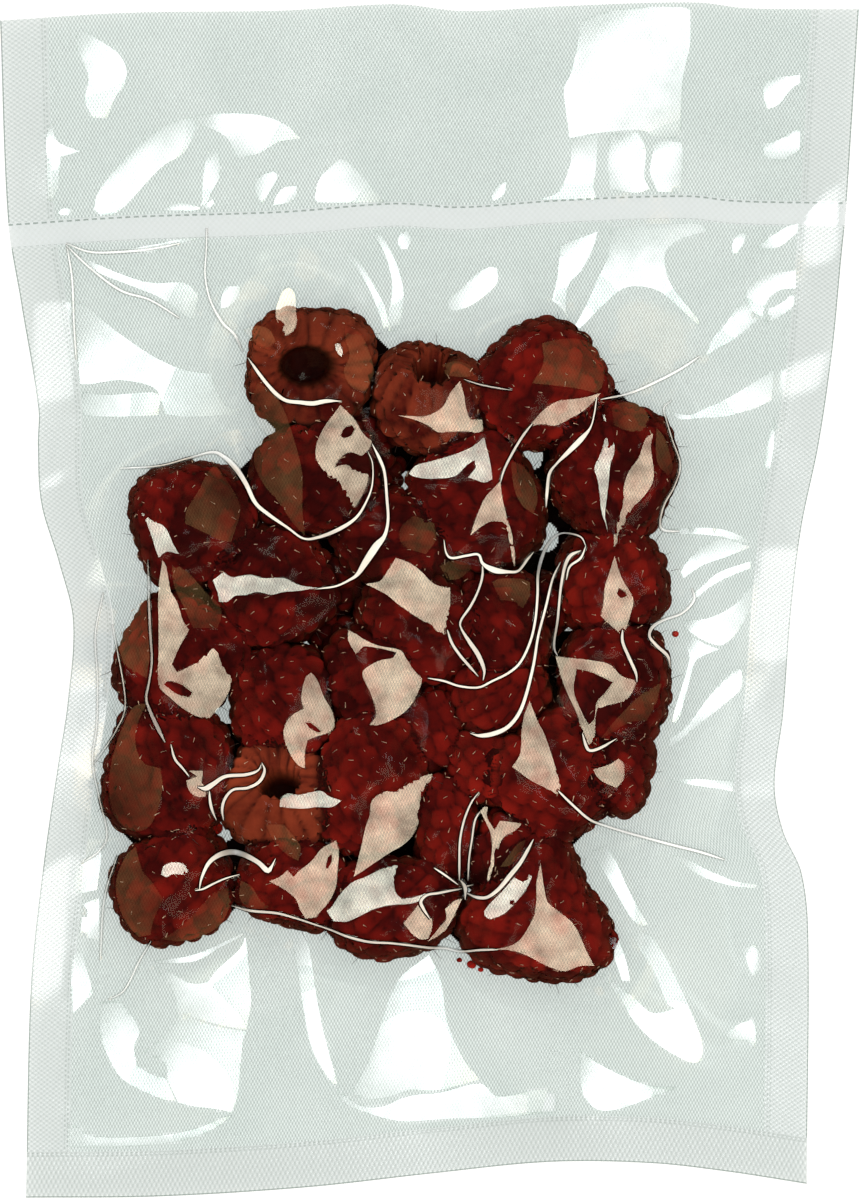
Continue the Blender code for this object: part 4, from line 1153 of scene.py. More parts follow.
# Gaps left open, without the dark sheet: middle in X and Y, and how wide.
OPEN_GAPS = [(5.7, -49.8, 2.6), (-4.6, 20.6, 1.8), (20.4, 11.0, 2.4), (-35.2, -18.6, 2.8),
            (-36.2, -39.8, 2.4), (24.0, -3.5, 1.8), (-17.4, -23.4, 1.2), (-1.4, -25.8, 1.8),
            (18.0, 25.0, 2.0)]
shade_sheet = ~widened(~widened(on_fruit, SHADE_SHEET_CLOSES), SHADE_SHEET_CLOSES + 2)
for open_x, open_y, open_wide in OPEN_GAPS:
    shade_sheet &= np.hypot(rx - open_x, (ry - open_y) * 0.8) > open_wide * 0.8
shade_sheet &= widened(~on_fruit, SHADE_SHEET_UNDER)
level = SHADE_SHEET_LEVEL + 0.25 * np.sin(rx * 0.7) * np.sin(ry * 0.6 + 1)
square = grid_faces(shade_sheet.shape)
used, again = np.unique(square[shade_sheet.ravel()[square].all(1)], return_inverse=True)
points = np.stack([rx, ry, level], -1).reshape(-1, 3)[used]
gap_shade_sheet = make_mesh("gap_shade_sheet", points, again.reshape(-1, 4))
# Painted shade: the sheet's colours are near black.
gap_shade_sheet.data.materials.append(berry_material("painted_gap_shade", (0.006, 0.0008, 0.0006, 1),
                                                 (0.020, 0.0018, 0.0012, 1),
                                                 (0.01, 0.001, 0.001, 1)))
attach(gap_shade_sheet, "root")


# --------------------------------------
# The back film. A nylon and polythene film, embossed with a fine woven mesh so that air can get
# out. It lies on the table under the fruit and against the front film beside it, up to the mouth.
# --------------------------------------
FLAT_WIDE, FLAT_LONG = 150.0, 205.0  # of the flat film, on which mesh and welds are measured
FILM_GAP = 0.12  # between the two films beside the fruit
UNDER_FRUIT = 0.12
BACK_WEAVE = (0.62, 1.05)  # the pitches of its mesh, which marks the front film as well
LINE_DARK = (0.50, 0.55, 0.52, 1.0)  # lines pressed into the film at a weld


def stations(*spans):
    """Shares from span to span, each (start, end, cells)."""
    shares = [np.linspace(a, b, n, endpoint=False) for a, b, n in spans]
    return np.concatenate(shares + [[spans[-1][1]]])


def make_sheet(name, patches, height):
    """A film of one or more patches, each (shares across, shares along), with height(x, y)."""
    points, faces, flats, start = [], [], [], 0
    for s, r in patches:
        ss, rr = np.meshgrid(s, r, indexing="ij")
        x, y = plan(ss, rr)
        points.append(np.stack([x, y, height(x, y)], -1).reshape(-1, 3))
        flats.append(np.stack([ss * FLAT_WIDE, rr * FLAT_LONG], -1).reshape(-1, 2))
        faces.append(grid_faces(ss.shape, start))
        start += ss.size
    points, faces, flats = (np.concatenate(part) for part in (points, faces, flats))
    piece = make_mesh(name, points, faces)
    cut = piece.data.uv_layers.new(name="flat_film")
    cut.data.foreach_set("uv", flats[faces.ravel()].astype(np.float32).ravel())
    return piece


def back_height(x, y):
    """The back film's height: flat under the fruit, and up to the front film beside it."""
    held = UNDER_FRUIT + 0.35 * np.clip(from_fruit(x, y) - 1.0, 0, 40)
    return np.minimum(film_height(x, y) - FILM_GAP, held)


back_film = make_sheet("back_film", [
    (stations((WELD_SIDE, 1 - WELD_SIDE, 150)), stations((WELD_FOOT, SEAL_LOW, 176))),
    (stations((WELD_SIDE, 1 - WELD_SIDE, 150)), stations((SEAL_HIGH, 1, 42))),
], back_height)


def flat_film(tree):
    """Where each place was in the flat film, across and along it, in millimetres."""
    cut = add_node(tree, "UVMap", {"uv_map": "flat_film"})
    return add_node(tree, "SeparateXYZ", Vector=cut.outputs[0]).outputs[:2]


def woven(tree, *pitches):
    """The height of an embossed mesh, from 0 to 1, with its pitches across and along the film."""
    waves = []
    for value, pitch in zip(flat_film(tree), pitches):
        waves.append(maths(tree, "SINE", maths(tree, "MULTIPLY", value, 2 * math.pi / pitch)))
    return maths(tree, "MULTIPLY_ADD", maths(tree, "MULTIPLY", *waves), 0.5, 0.5)


def film_material(name, clear, thick, gloss, edge_gloss, rough, weave, weave_dark=None,
                  weave_depth=0.0, weave_gloss=0.0, lines=None, wetted=False):
    """Clear film: it lets most light through, mirrors some of it, and looks denser edge on.

    clear is its tint seen straight, thick its tint seen edge on. gloss and edge_gloss are the
    shares that it mirrors. weave holds the pitches of its mesh, which tints it by weave_dark,
    stands up by weave_depth, and dulls it by weave_gloss. lines are pressed into it darker."""
    material, tree, surface = blank_material(name)
    facing = add_node(tree, "LayerWeight", Blend=0.5)
    edge_on = maths(tree, "POWER", facing.outputs["Facing"], 4.0)
    share = maths(tree, "MULTIPLY_ADD", edge_on, edge_gloss - gloss, gloss)
    tint = blend_colours(tree, edge_on, [*clear, 1.0], [*thick, 1.0])
    if wetted:
        taut = add_node(tree, "Attribute", {"attribute_name": "taut"})
        uneven = maths(tree, "MULTIPLY_ADD", noise(tree, 250.0, 3.0), 1.85, 0.1)
        share = maths(tree, "MULTIPLY", maths(tree, "MULTIPLY", share, taut.outputs["Fac"]), uneven)
        cloud = blend_colours(tree, noise(tree, 42.0, 2.0, Distortion=1.2),
                              (0.93, 0.945, 0.938, 1), (1.07, 1.055, 1.06, 1))
        tint = blend_colours(tree, 1.0, tint, cloud, "MULTIPLY")
    see = add_node(tree, "BsdfTransparent")
    shine = add_node(tree, "BsdfAnisotropic", {"distribution": "BECKMANN"}, Color=(1, 1, 1, 1),
                     Roughness=rough)
    height = woven(tree, *weave)
    if weave_dark:
        dark = blend_colours(tree, 1.0, tint, [*weave_dark, 1.0], "MULTIPLY")
        tint = blend_colours(tree, height, dark, tint)
    if weave_depth:
        bump = add_node(tree, "Bump", Strength=1.0, Distance=weave_depth * MM, Height=height)
        tree.links.new(bump.outputs[0], shine.inputs["Normal"])
    if weave_gloss:
        dulled = maths(tree, "MULTIPLY_ADD", height, -weave_gloss, 1.0)
        share = maths(tree, "MULTIPLY", share, dulled)
    if lines:
        tint = blend_colours(tree, lines(tree), tint, LINE_DARK, "MULTIPLY")
    passes = maths(tree, "DIVIDE", 1.0, maths(tree, "SUBTRACT", 1.0, share))
    tree.links.new(blend_colours(tree, 1.0, tint, passes, "MULTIPLY"), see.inputs["Color"])
    film = add_node(tree, "MixShader", i0=share, i1=see.outputs[0], i2=shine.outputs[0])
    tree.links.new(film.outputs[0], surface)
    return material


back_film.data.materials.append(film_material(
    "woven_back_film", (0.945, 0.973, 0.969), (0.80, 0.83, 0.81), 0.05, 0.2, 0.2, BACK_WEAVE,
    weave_dark=(0.54, 0.58, 0.57), weave_depth=0.01))
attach(back_film, "root")


# --------------------------------------
# The front film. A smooth clear film of the same make, drawn tight over the fruit. Its two parts
# meet at the heat seal: the pouch below, and the loose flap above it, which is open at the mouth.
# --------------------------------------
HEM = 0.3  # how wide the bend is from a flat span down to the film beside it
DENT_LEAN = (-110, 22)  # the way a dent in a flat span faces, and by how many degrees it leans
SPAN_CELL = 1.3
SPAN_WAVER = 0.012
CURLS_BELOW = 0.16  # the slope under which a span curls, and by how many degrees to each side
SPAN_CURL = 3.2
# How much of its shine a span has lost at its far side, for the lamp that it faces.
FADES = {"broad": 0.2, "low": 0.85, "cool": 0.2, "dim_right": 0.6, "dim_left": 0.6}


def flat_place(x, y):
    """Where a place on the bag was in the flat film, in millimetres across and along."""
    s, r = np.full(x.shape, 0.5), np.full(x.shape, 0.5)
    for _ in range(14):
        at_x, at_y = plan(s, r)
        s, r = s + (x - at_x) / 140, r + (y - at_y) / FLAT_LONG
    return np.stack([s * FLAT_WIDE, r * FLAT_LONG], -1)


def span_height(x, y, outline, plane):
    """A span's height: a plane, but one that leans little also curls up along its slope."""
    to_x, to_y, level = plane
    slope = math.hypot(to_x, to_y)
    height = level - to_x * x - to_y * y
    if slope > CURLS_BELOW:
        return height
    down = (to_x * x + to_y * y) / slope
    middle = (outline @ np.array([to_x, to_y])) / slope
    reach = np.ptp(middle) / 2
    return height - math.tan(math.radians(SPAN_CURL)) / (2 * reach) * (down - middle.mean())**2


def flat_span(outline, dents, plane):
    """A flat span's points and triangles, and the points and faces of the hem round it."""
    steep = math.hypot(*plane[:2]) > CURLS_BELOW
    low, high = outline.min(0), outline.max(0)
    gx, gy = np.meshgrid(np.arange(low[0], high[0], SPAN_CELL),
                         np.arange(low[1], high[1], SPAN_CELL), indexing="ij")
    grid = np.stack([gx.ravel(), gy.ravel()], -1)
    grid = grid[is_inside(outline, grid[:, 0], grid[:, 1])]
    places, edges, start = [outline, *dents], [], 0
    for ring in places:
        k = np.arange(len(ring))
        edges += list(zip((start + k).tolist(), (start + np.roll(k, -1)).tolist()))
        start += len(ring)
    flat = np.concatenate(places + [grid])
    made = geometry.delaunay_2d_cdt([Vector(p) for p in flat], edges, [], 0, 1e-4)
    flat, faces = np.array(made[0]), np.array(made[2])
    centre = flat[faces].mean(1)
    kept = is_inside(outline, centre[:, 0], centre[:, 1])
    for ring in dents:
        kept &= ~is_inside(ring, centre[:, 0], centre[:, 1])
    x, y = flat.T
    waver = SPAN_WAVER * np.sin(2.1 * x + 1.3 * y) * np.sin(1.7 * y - 0.6 * x)
    waver *= 1.0 if steep else 0.25
    top = np.stack([x, y, span_height(x, y, outline, plane) + waver], -1)
    along_it = np.roll(outline, -1, 0) - np.roll(outline, 1, 0)
    outward = np.stack([along_it[:, 1], -along_it[:, 0]], -1)
    outward /= np.linalg.norm(outward, axis=1)[:, None] + 1e-9
    following = np.roll(outline, -1, 0)
    turn = np.sign((outline[:, 0] * following[:, 1] - following[:, 0] * outline[:, 1]).sum())
    beyond = outline + outward * turn * HEM * (1.0 if steep else 0.4)
    inner = np.column_stack([outline, span_height(*outline.T, outline, plane)])
    outer = np.column_stack([beyond, film_height(*beyond.T)])
    k = np.arange(len(outline))
    hem = np.stack([k, np.roll(k, -1), np.roll(k, -1) + len(k), k + len(k)], -1)
    return top, faces[kept], np.concatenate([inner, outer]), hem


def span_shine(x, y, fade, way):
    """How fully a span mirrors: fully on one side, fading out towards the other."""
    reach = x * math.cos(way) + y * math.sin(way)
    reach = np.clip((reach - reach.min()) / np.ptp(reach) / 0.65 - 0.54, 0, 1)
    return 1 - fade * reach**2 * (3 - 2 * reach)


def cut_film(name, shares_across, shares_along, spans):
    """A sheet of the front film, with its flat spans and the hems round them let in."""
    s_grid, r_grid = np.meshgrid(shares_across, shares_along, indexing="ij")
    x, y = plan(s_grid, r_grid)
    points = [np.stack([x, y, film_height(x, y)], -1).reshape(-1, 3)]
    tautness = [film_height(x, y, taut_raster).ravel()]
    quads = grid_faces(x.shape)
    centre = points[0][quads].mean(1)
    kept = np.ones(len(quads), bool)
    for _, outline, *_ in spans:
        inside_box = (centre[:, :2] > outline.min(0)) & (centre[:, :2] < outline.max(0))
        near = np.flatnonzero(inside_box.all(1))
        kept[near] &= ~is_inside(outline, *centre[near, :2].T)
    film_quads, film_triangles, start = [quads[kept]], [np.empty((0, 3), int)], x.size
    for dents, outline, plane, fade, way in spans:
        rings = [smooth_outline(ring) for ring in dents]
        parts = [flat_span(outline, rings, plane)]
        for ring in rings:
            dent_x, dent_y = leaning(*DENT_LEAN)
            middle = ring.mean(0)
            level = plane[2] - middle @ np.array(plane[:2]) + middle @ np.array([dent_x, dent_y])
            parts.append(flat_span(ring, [], (dent_x, dent_y, level)))
        for number, (top_points, triangles, hem_points, hem) in enumerate(parts):
            points += [top_points, hem_points]
            film_triangles.append(triangles + start)
            film_quads.append(hem + start + len(top_points))
            start += len(top_points) + len(hem_points)
            tautness.append(np.full(len(top_points), WETTED) if number else
                            span_shine(top_points[:, 0], top_points[:, 1], fade, way))
            tautness.append(np.full(len(hem_points), WETTED))
    points, tautness = np.concatenate(points), np.concatenate(tautness)
    film_quads, film_triangles = np.concatenate(film_quads), np.concatenate(film_triangles)
    used, again = np.unique(np.concatenate([film_quads.ravel(), film_triangles.ravel()]),
                            return_inverse=True)
    points, tautness = points[used], tautness[used]
    film_quads, film_triangles = (again[:film_quads.size].reshape(-1, 4),
                                  again[film_quads.size:].reshape(-1, 3))
    piece = make_mesh(name, points, film_quads, film_triangles)
    cut = piece.data.uv_layers.new(name="flat_film")
    corner_points = np.concatenate([film_quads.ravel(), film_triangles.ravel()])
    flat = flat_place(points[:, 0], points[:, 1])
    cut.data.foreach_set("uv", flat[corner_points].astype(np.float32).ravel())
    taut = piece.data.attributes.new("taut", "FLOAT", "POINT")
    taut.data.foreach_set("value", tautness.astype(np.float32))
    return piece


below_seal, above_seal = [], []
for number, (lamp, _, *dents) in enumerate(SPANS):
    outline = span_outlines[number]
    span = (dents, outline, span_planes[number], FADES[lamp], 2.4 * number)
    along_film = flat_place(*outline.mean(0)[:, None])[0, 1] / FLAT_LONG
    (above_seal if along_film > SEAL_HIGH else below_seal).append(span)
front_film = cut_film(
    "front_film", stations((WELD_SIDE, 0.86, 250), (0.86, 1 - WELD_SIDE, 12)),
    stations((WELD_FOOT, 0.19, 30), (0.19, 0.78, 290), (0.78, SEAL_LOW, 8)), below_seal)
front_film.data.materials.append(film_material(
    "clear_front_film", (0.902, 0.922, 0.908), (0.87, 0.885, 0.875), 0.30, 0.50, 0.11, BACK_WEAVE,
    weave_gloss=0.35, wetted=True))
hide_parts("sealed_bag")
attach(front_film, "root")

mouth_flap = cut_film("mouth_flap", stations((WELD_SIDE, 1 - WELD_SIDE, 230)),
                      stations((SEAL_HIGH, 1, 60)), above_seal)
mouth_flap.data.materials.append(front_film.data.materials[0])
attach(mouth_flap, "root")


# --------------------------------------
# The pleats. Film that had nowhere to go was gathered into narrow standing folds, two layers
# thick, that run over and between the berries and die out on the flats.
# --------------------------------------
# How strong the painted highlight on each pleat's crest is, and its line: X, Y and how wide it is there, by
# turns.
PLEATS = [
    (1, [-54, 23, 0.26, -47.1, 23.4, 0.26, -42.5, 24.6, 0.35, -38, 25.8, 0.52, -35.9, 25, 0.87, -33.8, 23,
     1.22, -32, 20.3, 1.05, -30.3, 16.9, 0.87, -27.9, 14.8, 0.79, -24.7, 12.6, 0.52, -21.9, 10.7, 0.44,
     -19.1, 11, 0.7, -15.6, 12.4, 0.87, -12.8, 14.3, 0.61, -11.1, 16.9, 0.44, -10, 19.9, 0.28, -9.9, 23.6,
     0.21, -10.7, 25.8, 0.21]),
    (1, [-10, 27.2, 0.35, -8.6, 24.4, 0.7, -7.8, 22, 0.61, -7.4, 17.5, 0.61, -7.2, 14, 0.61, -7.8, 11.2,
     0.87, -9.3, 9.3, 1.75, -11.1, 6.6, 1.57, -12.5, 4.5, 0.87, -13.9, 3.5, 0.52, -16.3, 2.4, 0.38, -19.8,
     1.9, 0.38]),
    (1, [-31.7, 42.3, 0.35, -30.8, 41, 0.52, -29.6, 39.3, 0.7, -28.2, 37.5, 0.79, -26.6, 35.8, 0.87, -24.9,
     34.7, 0.79, -22.6, 34.4, 0.87, -20.3, 34.2, 1.05, -17.9, 34.6, 0.87, -15.3, 34.6, 0.26]),
    (0.8, [-38.9, 65, 0.17, -39, 61.1, 0.21, -39.2, 56.7, 0.28, -38.3, 52.4, 0.35, -36.2, 48.5, 0.52, -34.1,
     46.4, 0.52, -32.6, 43.3, 0.35]),
    (0.75, [17.9, 30.7, 0.52, 16.2, 28.5, 0.52, 14.4, 25.5, 0.52, 13, 22.7, 0.45, 12.3, 20.3, 0.52]),
    (1, [29.1, 35.3, 0.35, 28.7, 32.5, 0.26, 28, 30, 0.35, 26.3, 27.9, 1.22, 24.2, 25.8, 1.05, 22.1, 23.7,
     0.44, 20.9, 22, 0.7, 20.5, 19.2, 0.7, 20.3, 16.1, 0.52]),
    (1, [2.5, 10.5, 0.26, 2.9, 8.2, 0.35, 3.9, 7.3, 0.52, 6.4, 7.7, 0.52, 8.5, 7.9, 0.52, 9.3, 6.3, 0.7,
     11.3, 5.2, 1.4, 13.7, 4.9, 0.7, 15.5, 5.1, 0.52, 17, 7, 0.61, 18.2, 8.4, 0.35]),
    (1, [27.2, 9.4, 0.35, 26.3, 11, 0.35, 23.8, 11.7, 0.35, 22.1, 11.2, 0.44, 20.5, 9.4, 0.52, 19.5, 7,
     0.79, 18.9, 4.2, 0.61, 18.8, 0.7, 0.52, 18.4, -3.5, 0.52, 17.5, -7.3, 0.52, 15.8, -10.8, 0.52, 13.7,
     -12.7, 0.52, 10.9, -14.1, 0.44, 8.5, -15.2, 0.44, 5.3, -15, 0.44, 2.5, -14.1, 0.44, -0.3, -13.6,
     0.35]),
    (0.8, [26.3, 8.6, 0.87, 24.5, 7.7, 0.87, 23.5, 5.6, 0.7, 22.8, 1.7, 0.52, 22.3, -3.5, 0.52, 21.7, -7.9,
     0.52, 22.3, -9.8, 0.7]),
    (1, [27.2, 9.4, 0.44, 26.3, 7.3, 0.52, 24.4, 5.8, 0.44, 23.8, 3.5, 0.35]),
    (1, [22.8, 6.6, 0.35, 21.4, 3.5, 0.44, 20.3, -1, 0.52, 18.9, -6.3, 0.52, 18.1, -11.2, 0.61, 16.9, -16.1,
     0.7, 15.6, -19.6, 0.79, 13.7, -22, 0.87, 11.3, -23.2, 1.05, 8.8, -23.6, 0.87, 7.1, -23.2, 0.35]),
    (0.8, [9.2, 6.6, 0.35, 9.2, 4.2, 0.52, 8.5, 1.7, 0.44, 7.2, -1, 0.52, 5.5, -3.5, 0.44, 5.5, -4.9, 0.35,
     6.9, -7.2, 0.87, 8.5, -9.6, 1.05, 9.5, -12.2, 0.7, 9.3, -14, 0.35]),
    (0.8, [3.1, -5.2, 0.7, 3.9, -7.5, 0.61, 5.3, -9.6, 0.61, 7.1, -11.7, 0.61, 8.5, -13.3, 0.35]),
    (0.85, [-40.4, -32.5, 0.52, -39, -32.8, 1.4, -37.6, -32, 1.05, -35.5, -30.7, 0.79, -32, -30.4, 0.7,
     -29.9, -29.7, 0.52, -29.2, -28.5, 0.35]),
    (0.85, [-29.2, -28.3, 0.35, -28.7, -29.7, 0.7, -29.6, -31.6, 0.7, -31.7, -32.7, 0.61, -34.1, -33, 0.52,
     -35.5, -34.4, 0.61, -36.1, -36.3, 0.61, -35.9, -38.4, 0.52]),
    (0.85, [-38.3, -33.2, 0.7, -38.2, -34.9, 0.7, -37.8, -36.7, 0.61, -37.1, -38.4, 0.44]),
    (1, [-40.1, -50.6, 0.35, -39.7, -48.5, 0.52, -38.5, -45.9, 0.87, -36.8, -44.5, 1.13, -34.7, -44, 1.31,
     -32.2, -44.5, 1.22, -29.8, -45.7, 1.05, -28.2, -47.1, 1.22, -27.5, -46.4, 0.7, -26.8, -45, 0.26]),
    (1, [-40.8, -50.6, 0.52, -39.4, -50.3, 0.52, -37.6, -49.4, 0.38, -35.5, -48.5, 0.31, -33.1, -47.8,
     0.26]),
    (0.7, [-34.5, -53.3, 0.26, -31.3, -54.1, 0.52, -26.8, -54.5, 0.52, -24, -55.2, 0.44, -20.9, -56.2, 0.35,
     -17.4, -57.4, 0.35, -13.9, -58.7, 0.52, -10.4, -59.5, 0.52, -6.9, -59.7, 0.44, -3.4, -60.1, 0.44, 0.1,
     -60.6, 0.52, 2.9, -60.8, 0.44, 5.3, -61.3, 0.44, 8.8, -60.9, 0.44, 12, -60.8, 0.52]),
    (1, [5.3, -48.7, 0.7, 6.2, -50.1, 1.22, 6.2, -52.2, 0.35]),
    (1, [0.8, -46.6, 0.7, 2.9, -48, 0.44, 5, -49.6, 0.52]),
    (1, [7.6, -49.6, 0.35, 5.7, -50.1, 0.87]),
    (0.8, [5.2, -48.9, 0.52, 5.2, -45.4, 0.44, 5.3, -41.9, 0.44, 6, -38.4, 0.44, 7.2, -35.4, 0.35, 8.6,
     -33.4, 0.26]),
    (0.7, [6.7, -48.9, 0.35, 6.9, -45, 0.35, 7.4, -41.6, 0.35, 7.9, -38.4, 0.44, 8.8, -36.8, 0.7]),
    (0.8, [6.4, -51, 0.52, 8.1, -51.7, 0.7, 10, -51.7, 0.7, 12, -50.3, 0.87, 14.1, -47.8, 1.05, 15.8, -45.7,
     0.87, 17.2, -43.3, 0.7, 18.1, -41.6, 0.52]),
    (0.8, [5.7, -50.3, 0.52, 3.6, -50.6, 0.44, 1.5, -51, 0.52, -0.4, -51.3, 0.52, -1.5, -52.4, 0.7, -1,
     -53.8, 0.7, 0.1, -55.5, 0.52]),
    (0.35, [-49, 7, 0.26, -48.8, 0, 0.52, -48.6, -5.2, 0.52, -48.3, -10.5, 0.44, -48.8, -14.3, 0.44, -49.3,
     -17.1, 0.52, -48.6, -19.4, 0.7, -47.4, -22, 0.87, -46, -24.8, 0.7]),
    (0.8, [-45, -25.1, 0.52, -44.3, -27.6, 0.52, -42.9, -29.3, 0.52, -41.8, -30.7, 0.7]),
    (0.8, [33.6, -5.2, 1.05, 33.6, -7.3, 0.7, 34.7, -10, 0.7, 35.9, -12.7, 0.7, 36.1, -14.3, 0.52]),
    (0.8, [26.6, -23.2, 0.7, 27.3, -25.5, 0.7, 28, -26.2, 0.61, 29.8, -25.7, 0.61, 32.6, -24.1, 0.35]),
    (0.8, [45.8, 2.1, 0.35, 46.2, 0, 0.52, 44.1, -2.3, 0.44, 40.9, -3.5, 0.52, 38.9, -4.7, 0.7, 38.3, -6.3,
     0.61, 39.5, -7.9, 0.7, 41.5, -9.8, 0.7, 42, -11.9, 0.35]),
    (0.9, [22.4, -33.2, 0.87, 23.8, -34.6, 0.52, 25.6, -36.3, 0.52, 27.7, -38.1, 0.52, 29.8, -39.1, 0.44,
     34.8, -40.7, 0.44, 42.5, -42.8, 0.52, 47.2, -44, 0.52, 51.6, -45.4, 0.35]),
    (0.9, [29.8, 34.9, 0.35, 35, 36.1, 0.44, 40.2, 38.4, 0.52, 44.1, 40.5, 0.44, 47.2, 42.6, 0.35]),
    (0.7, [42.3, 34.9, 0.21, 40.9, 33.5, 0.26, 41.3, 31.4, 0.26, 42.3, 27.9, 0.26, 43.7, 23.6, 0.35, 42.7,
     19.9, 0.35, 40.9, 16.6, 0.35, 40.2, 13.6, 0.44, 40.9, 12.2, 0.52, 43.7, 12, 0.52]),
    (0.6, [-56.9, 1.3, 0.2, -58.3, -6.1, 0.2, -58, -13.4, 0.2, -58.1, -21.7, 0.2, -58.8, -29, 0.24, -56.4,
     -40.1, 0.26, -57.6, -43.7, 0.24, -60.9, -46, 0.2]),
    (0.6, [-55.3, -4.2, 0.2, -53, -17.1, 0.26, -54.6, -22.7, 0.24, -58.8, -28.8, 0.2]),
    (0.9, [-63.5, 62.3, 0.26, -59.3, 60.8, 0.35, -54, 60.8, 0.44, -48.8, 61.3, 0.35, -43.6, 62.3, 0.26]),
    (0.9, [-63.5, 62, 0.26, -59.3, 58, 0.35, -54, 54.1, 0.44, -48.8, 52.4, 0.35, -43.6, 49.2, 0.26]),
    (0.9, [-63.3, 61.8, 0.26, -62.4, 55.9, 0.35, -62.1, 48.9, 0.35, -61.7, 41.9, 0.26]),
    (0.6, [6, 38.4, 0.26, 8.8, 37.5, 0.26, 12.3, 36.8, 0.26, 14.4, 36.5, 0.17]),
    (0.5, [-54.4, -44.5, 0.26, -56.8, -52.4, 0.26, -57.5, -62.9, 0.26]),
    (0.6, [-48.5, -59.4, 0.21, -50.6, -62.9, 0.26, -53.3, -68.1, 0.26, -56.1, -69.8, 0.17]),
]
PLEAT_STEP = 0.35
# Across a pleat: how far out in half widths, how far beyond that, how high, painted highlight, painted
# shade at its bend.
PLEAT_ROWS = [(-1, -0.28, 0, 0, 0), (-1, -0.17, 0.3, 0, 1), (-1, -0.04, 0.85, 0, 1),
              (-1, 0, 1, 1, 0), (-0.5, 0, 1.05, 1, 0), (0, 0, 1.1, 1, 0), (0.5, 0, 1.05, 1, 0),
              (1, 0, 1, 1, 0), (1, 0.04, 0.85, 0, 1), (1, 0.17, 0.3, 0, 1), (1, 0.28, 0, 0, 0)]
CREST_ROWS = slice(3, 8)  # those that lie on the pleat's crest
CREST_ROUNDS = 10  # of smoothing the crest along the pleat
PLEAT_TAPER = 2.2  # how far from its ends a pleat narrows
PLEAT_WIDTH = 0.68  # all widths in the list are scaled by this
PLEAT_THIN = 0.1
PLEAT_RISE = (0.22, 0.28)  # how high its crest stands, and how much of its width is added to that
BEND_SHADE_ON_FLATS = 0.22  # how strong the painted shade at its bends is on the flats, as a share of that on the fruit


def smooth_route(points, step):
    """Places a step apart on a smooth line through points, with the width at each."""
    p = np.array(points).reshape(-1, 3)
    p = np.vstack([2 * p[0] - p[1], p, 2 * p[-1] - p[-2]])
    fine = []
    for k in range(1, len(p) - 2):
        a, b, c, d = p[k - 1:k + 3]
        for u in np.arange(24) / 24:
            fine.append(0.5 * (2 * b + (c - a) * u + (2 * a - 5 * b + 4 * c - d) * u * u
                               + (3 * b - a - 3 * c + d) * u**3))
    fine = np.array(fine + [p[-2]])
    run = np.concatenate([[0], np.cumsum(np.hypot(*np.diff(fine[:, :2], axis=0).T))])
    at = np.linspace(0, run[-1], max(int(run[-1] / step), 4))
    return np.stack([np.interp(at, run, fine[:, k]) for k in range(3)], -1)


pleat_points, pleat_faces, folds, start = [], [], [], 0
rows = np.array(PLEAT_ROWS)
fruit_raster = softened(1.0 * widened(on_fruit, 1), 2)
for highlight_strength, line in PLEATS:
    route = smooth_route(line, PLEAT_STEP)
    from_end = np.minimum(np.arange(len(route)), np.arange(len(route))[::-1]) * PLEAT_STEP
    taper = np.clip(from_end / PLEAT_TAPER, 0.02, 1) ** 0.6
    wide = np.maximum(route[:, 2] * PLEAT_WIDTH, PLEAT_THIN) * taper
    run = np.gradient(route[:, :2], axis=0)
    run /= np.linalg.norm(run, axis=1)[:, None]
    side = np.stack([-run[:, 1], run[:, 0]], -1)
    out = 0.5 * wide[:, None] * rows[:, 0] + rows[:, 1]
    flat = route[:, None, :2] + side[:, None, :] * out[..., None]
    under = film_height(flat[..., 0], flat[..., 1], outer_raster) + 0.02
    crest = under[:, CREST_ROWS].max(1)
    for _ in range(CREST_ROUNDS):
        crest = np.convolve(np.pad(crest, 1, mode="edge"), [0.25, 0.5, 0.25], "valid")
    crest = np.maximum(crest, under[:, CREST_ROWS].max(1))
    crest += PLEAT_RISE[0] * taper + PLEAT_RISE[1] * wide
    height = under + rows[:, 2] * (crest[:, None] - under)
    points = np.concatenate([flat, height[..., None]], -1)
    pleat_points.append(points.reshape(-1, 3))
    fruit_here = np.clip(film_height(flat[..., 0], flat[..., 1], fruit_raster), 0, 1)
    dark = rows[:, 4] * (BEND_SHADE_ON_FLATS + (1 - BEND_SHADE_ON_FLATS) * fruit_here)
    folds.append(np.stack([rows[:, 3] * highlight_strength + 0 * dark, dark, fruit_here], -1).reshape(-1, 3))
    pleat_faces.append(grid_faces(height.shape, start))
    start += height.size
film_pleats = make_mesh("film_pleats", np.concatenate(pleat_points), np.concatenate(pleat_faces))
folds = np.concatenate(folds)
paint = film_pleats.data.attributes.new("fold", "FLOAT_COLOR", "POINT")
paint.data.foreach_set("color", np.column_stack([folds, np.ones(len(folds))])
                       .astype(np.float32).ravel())
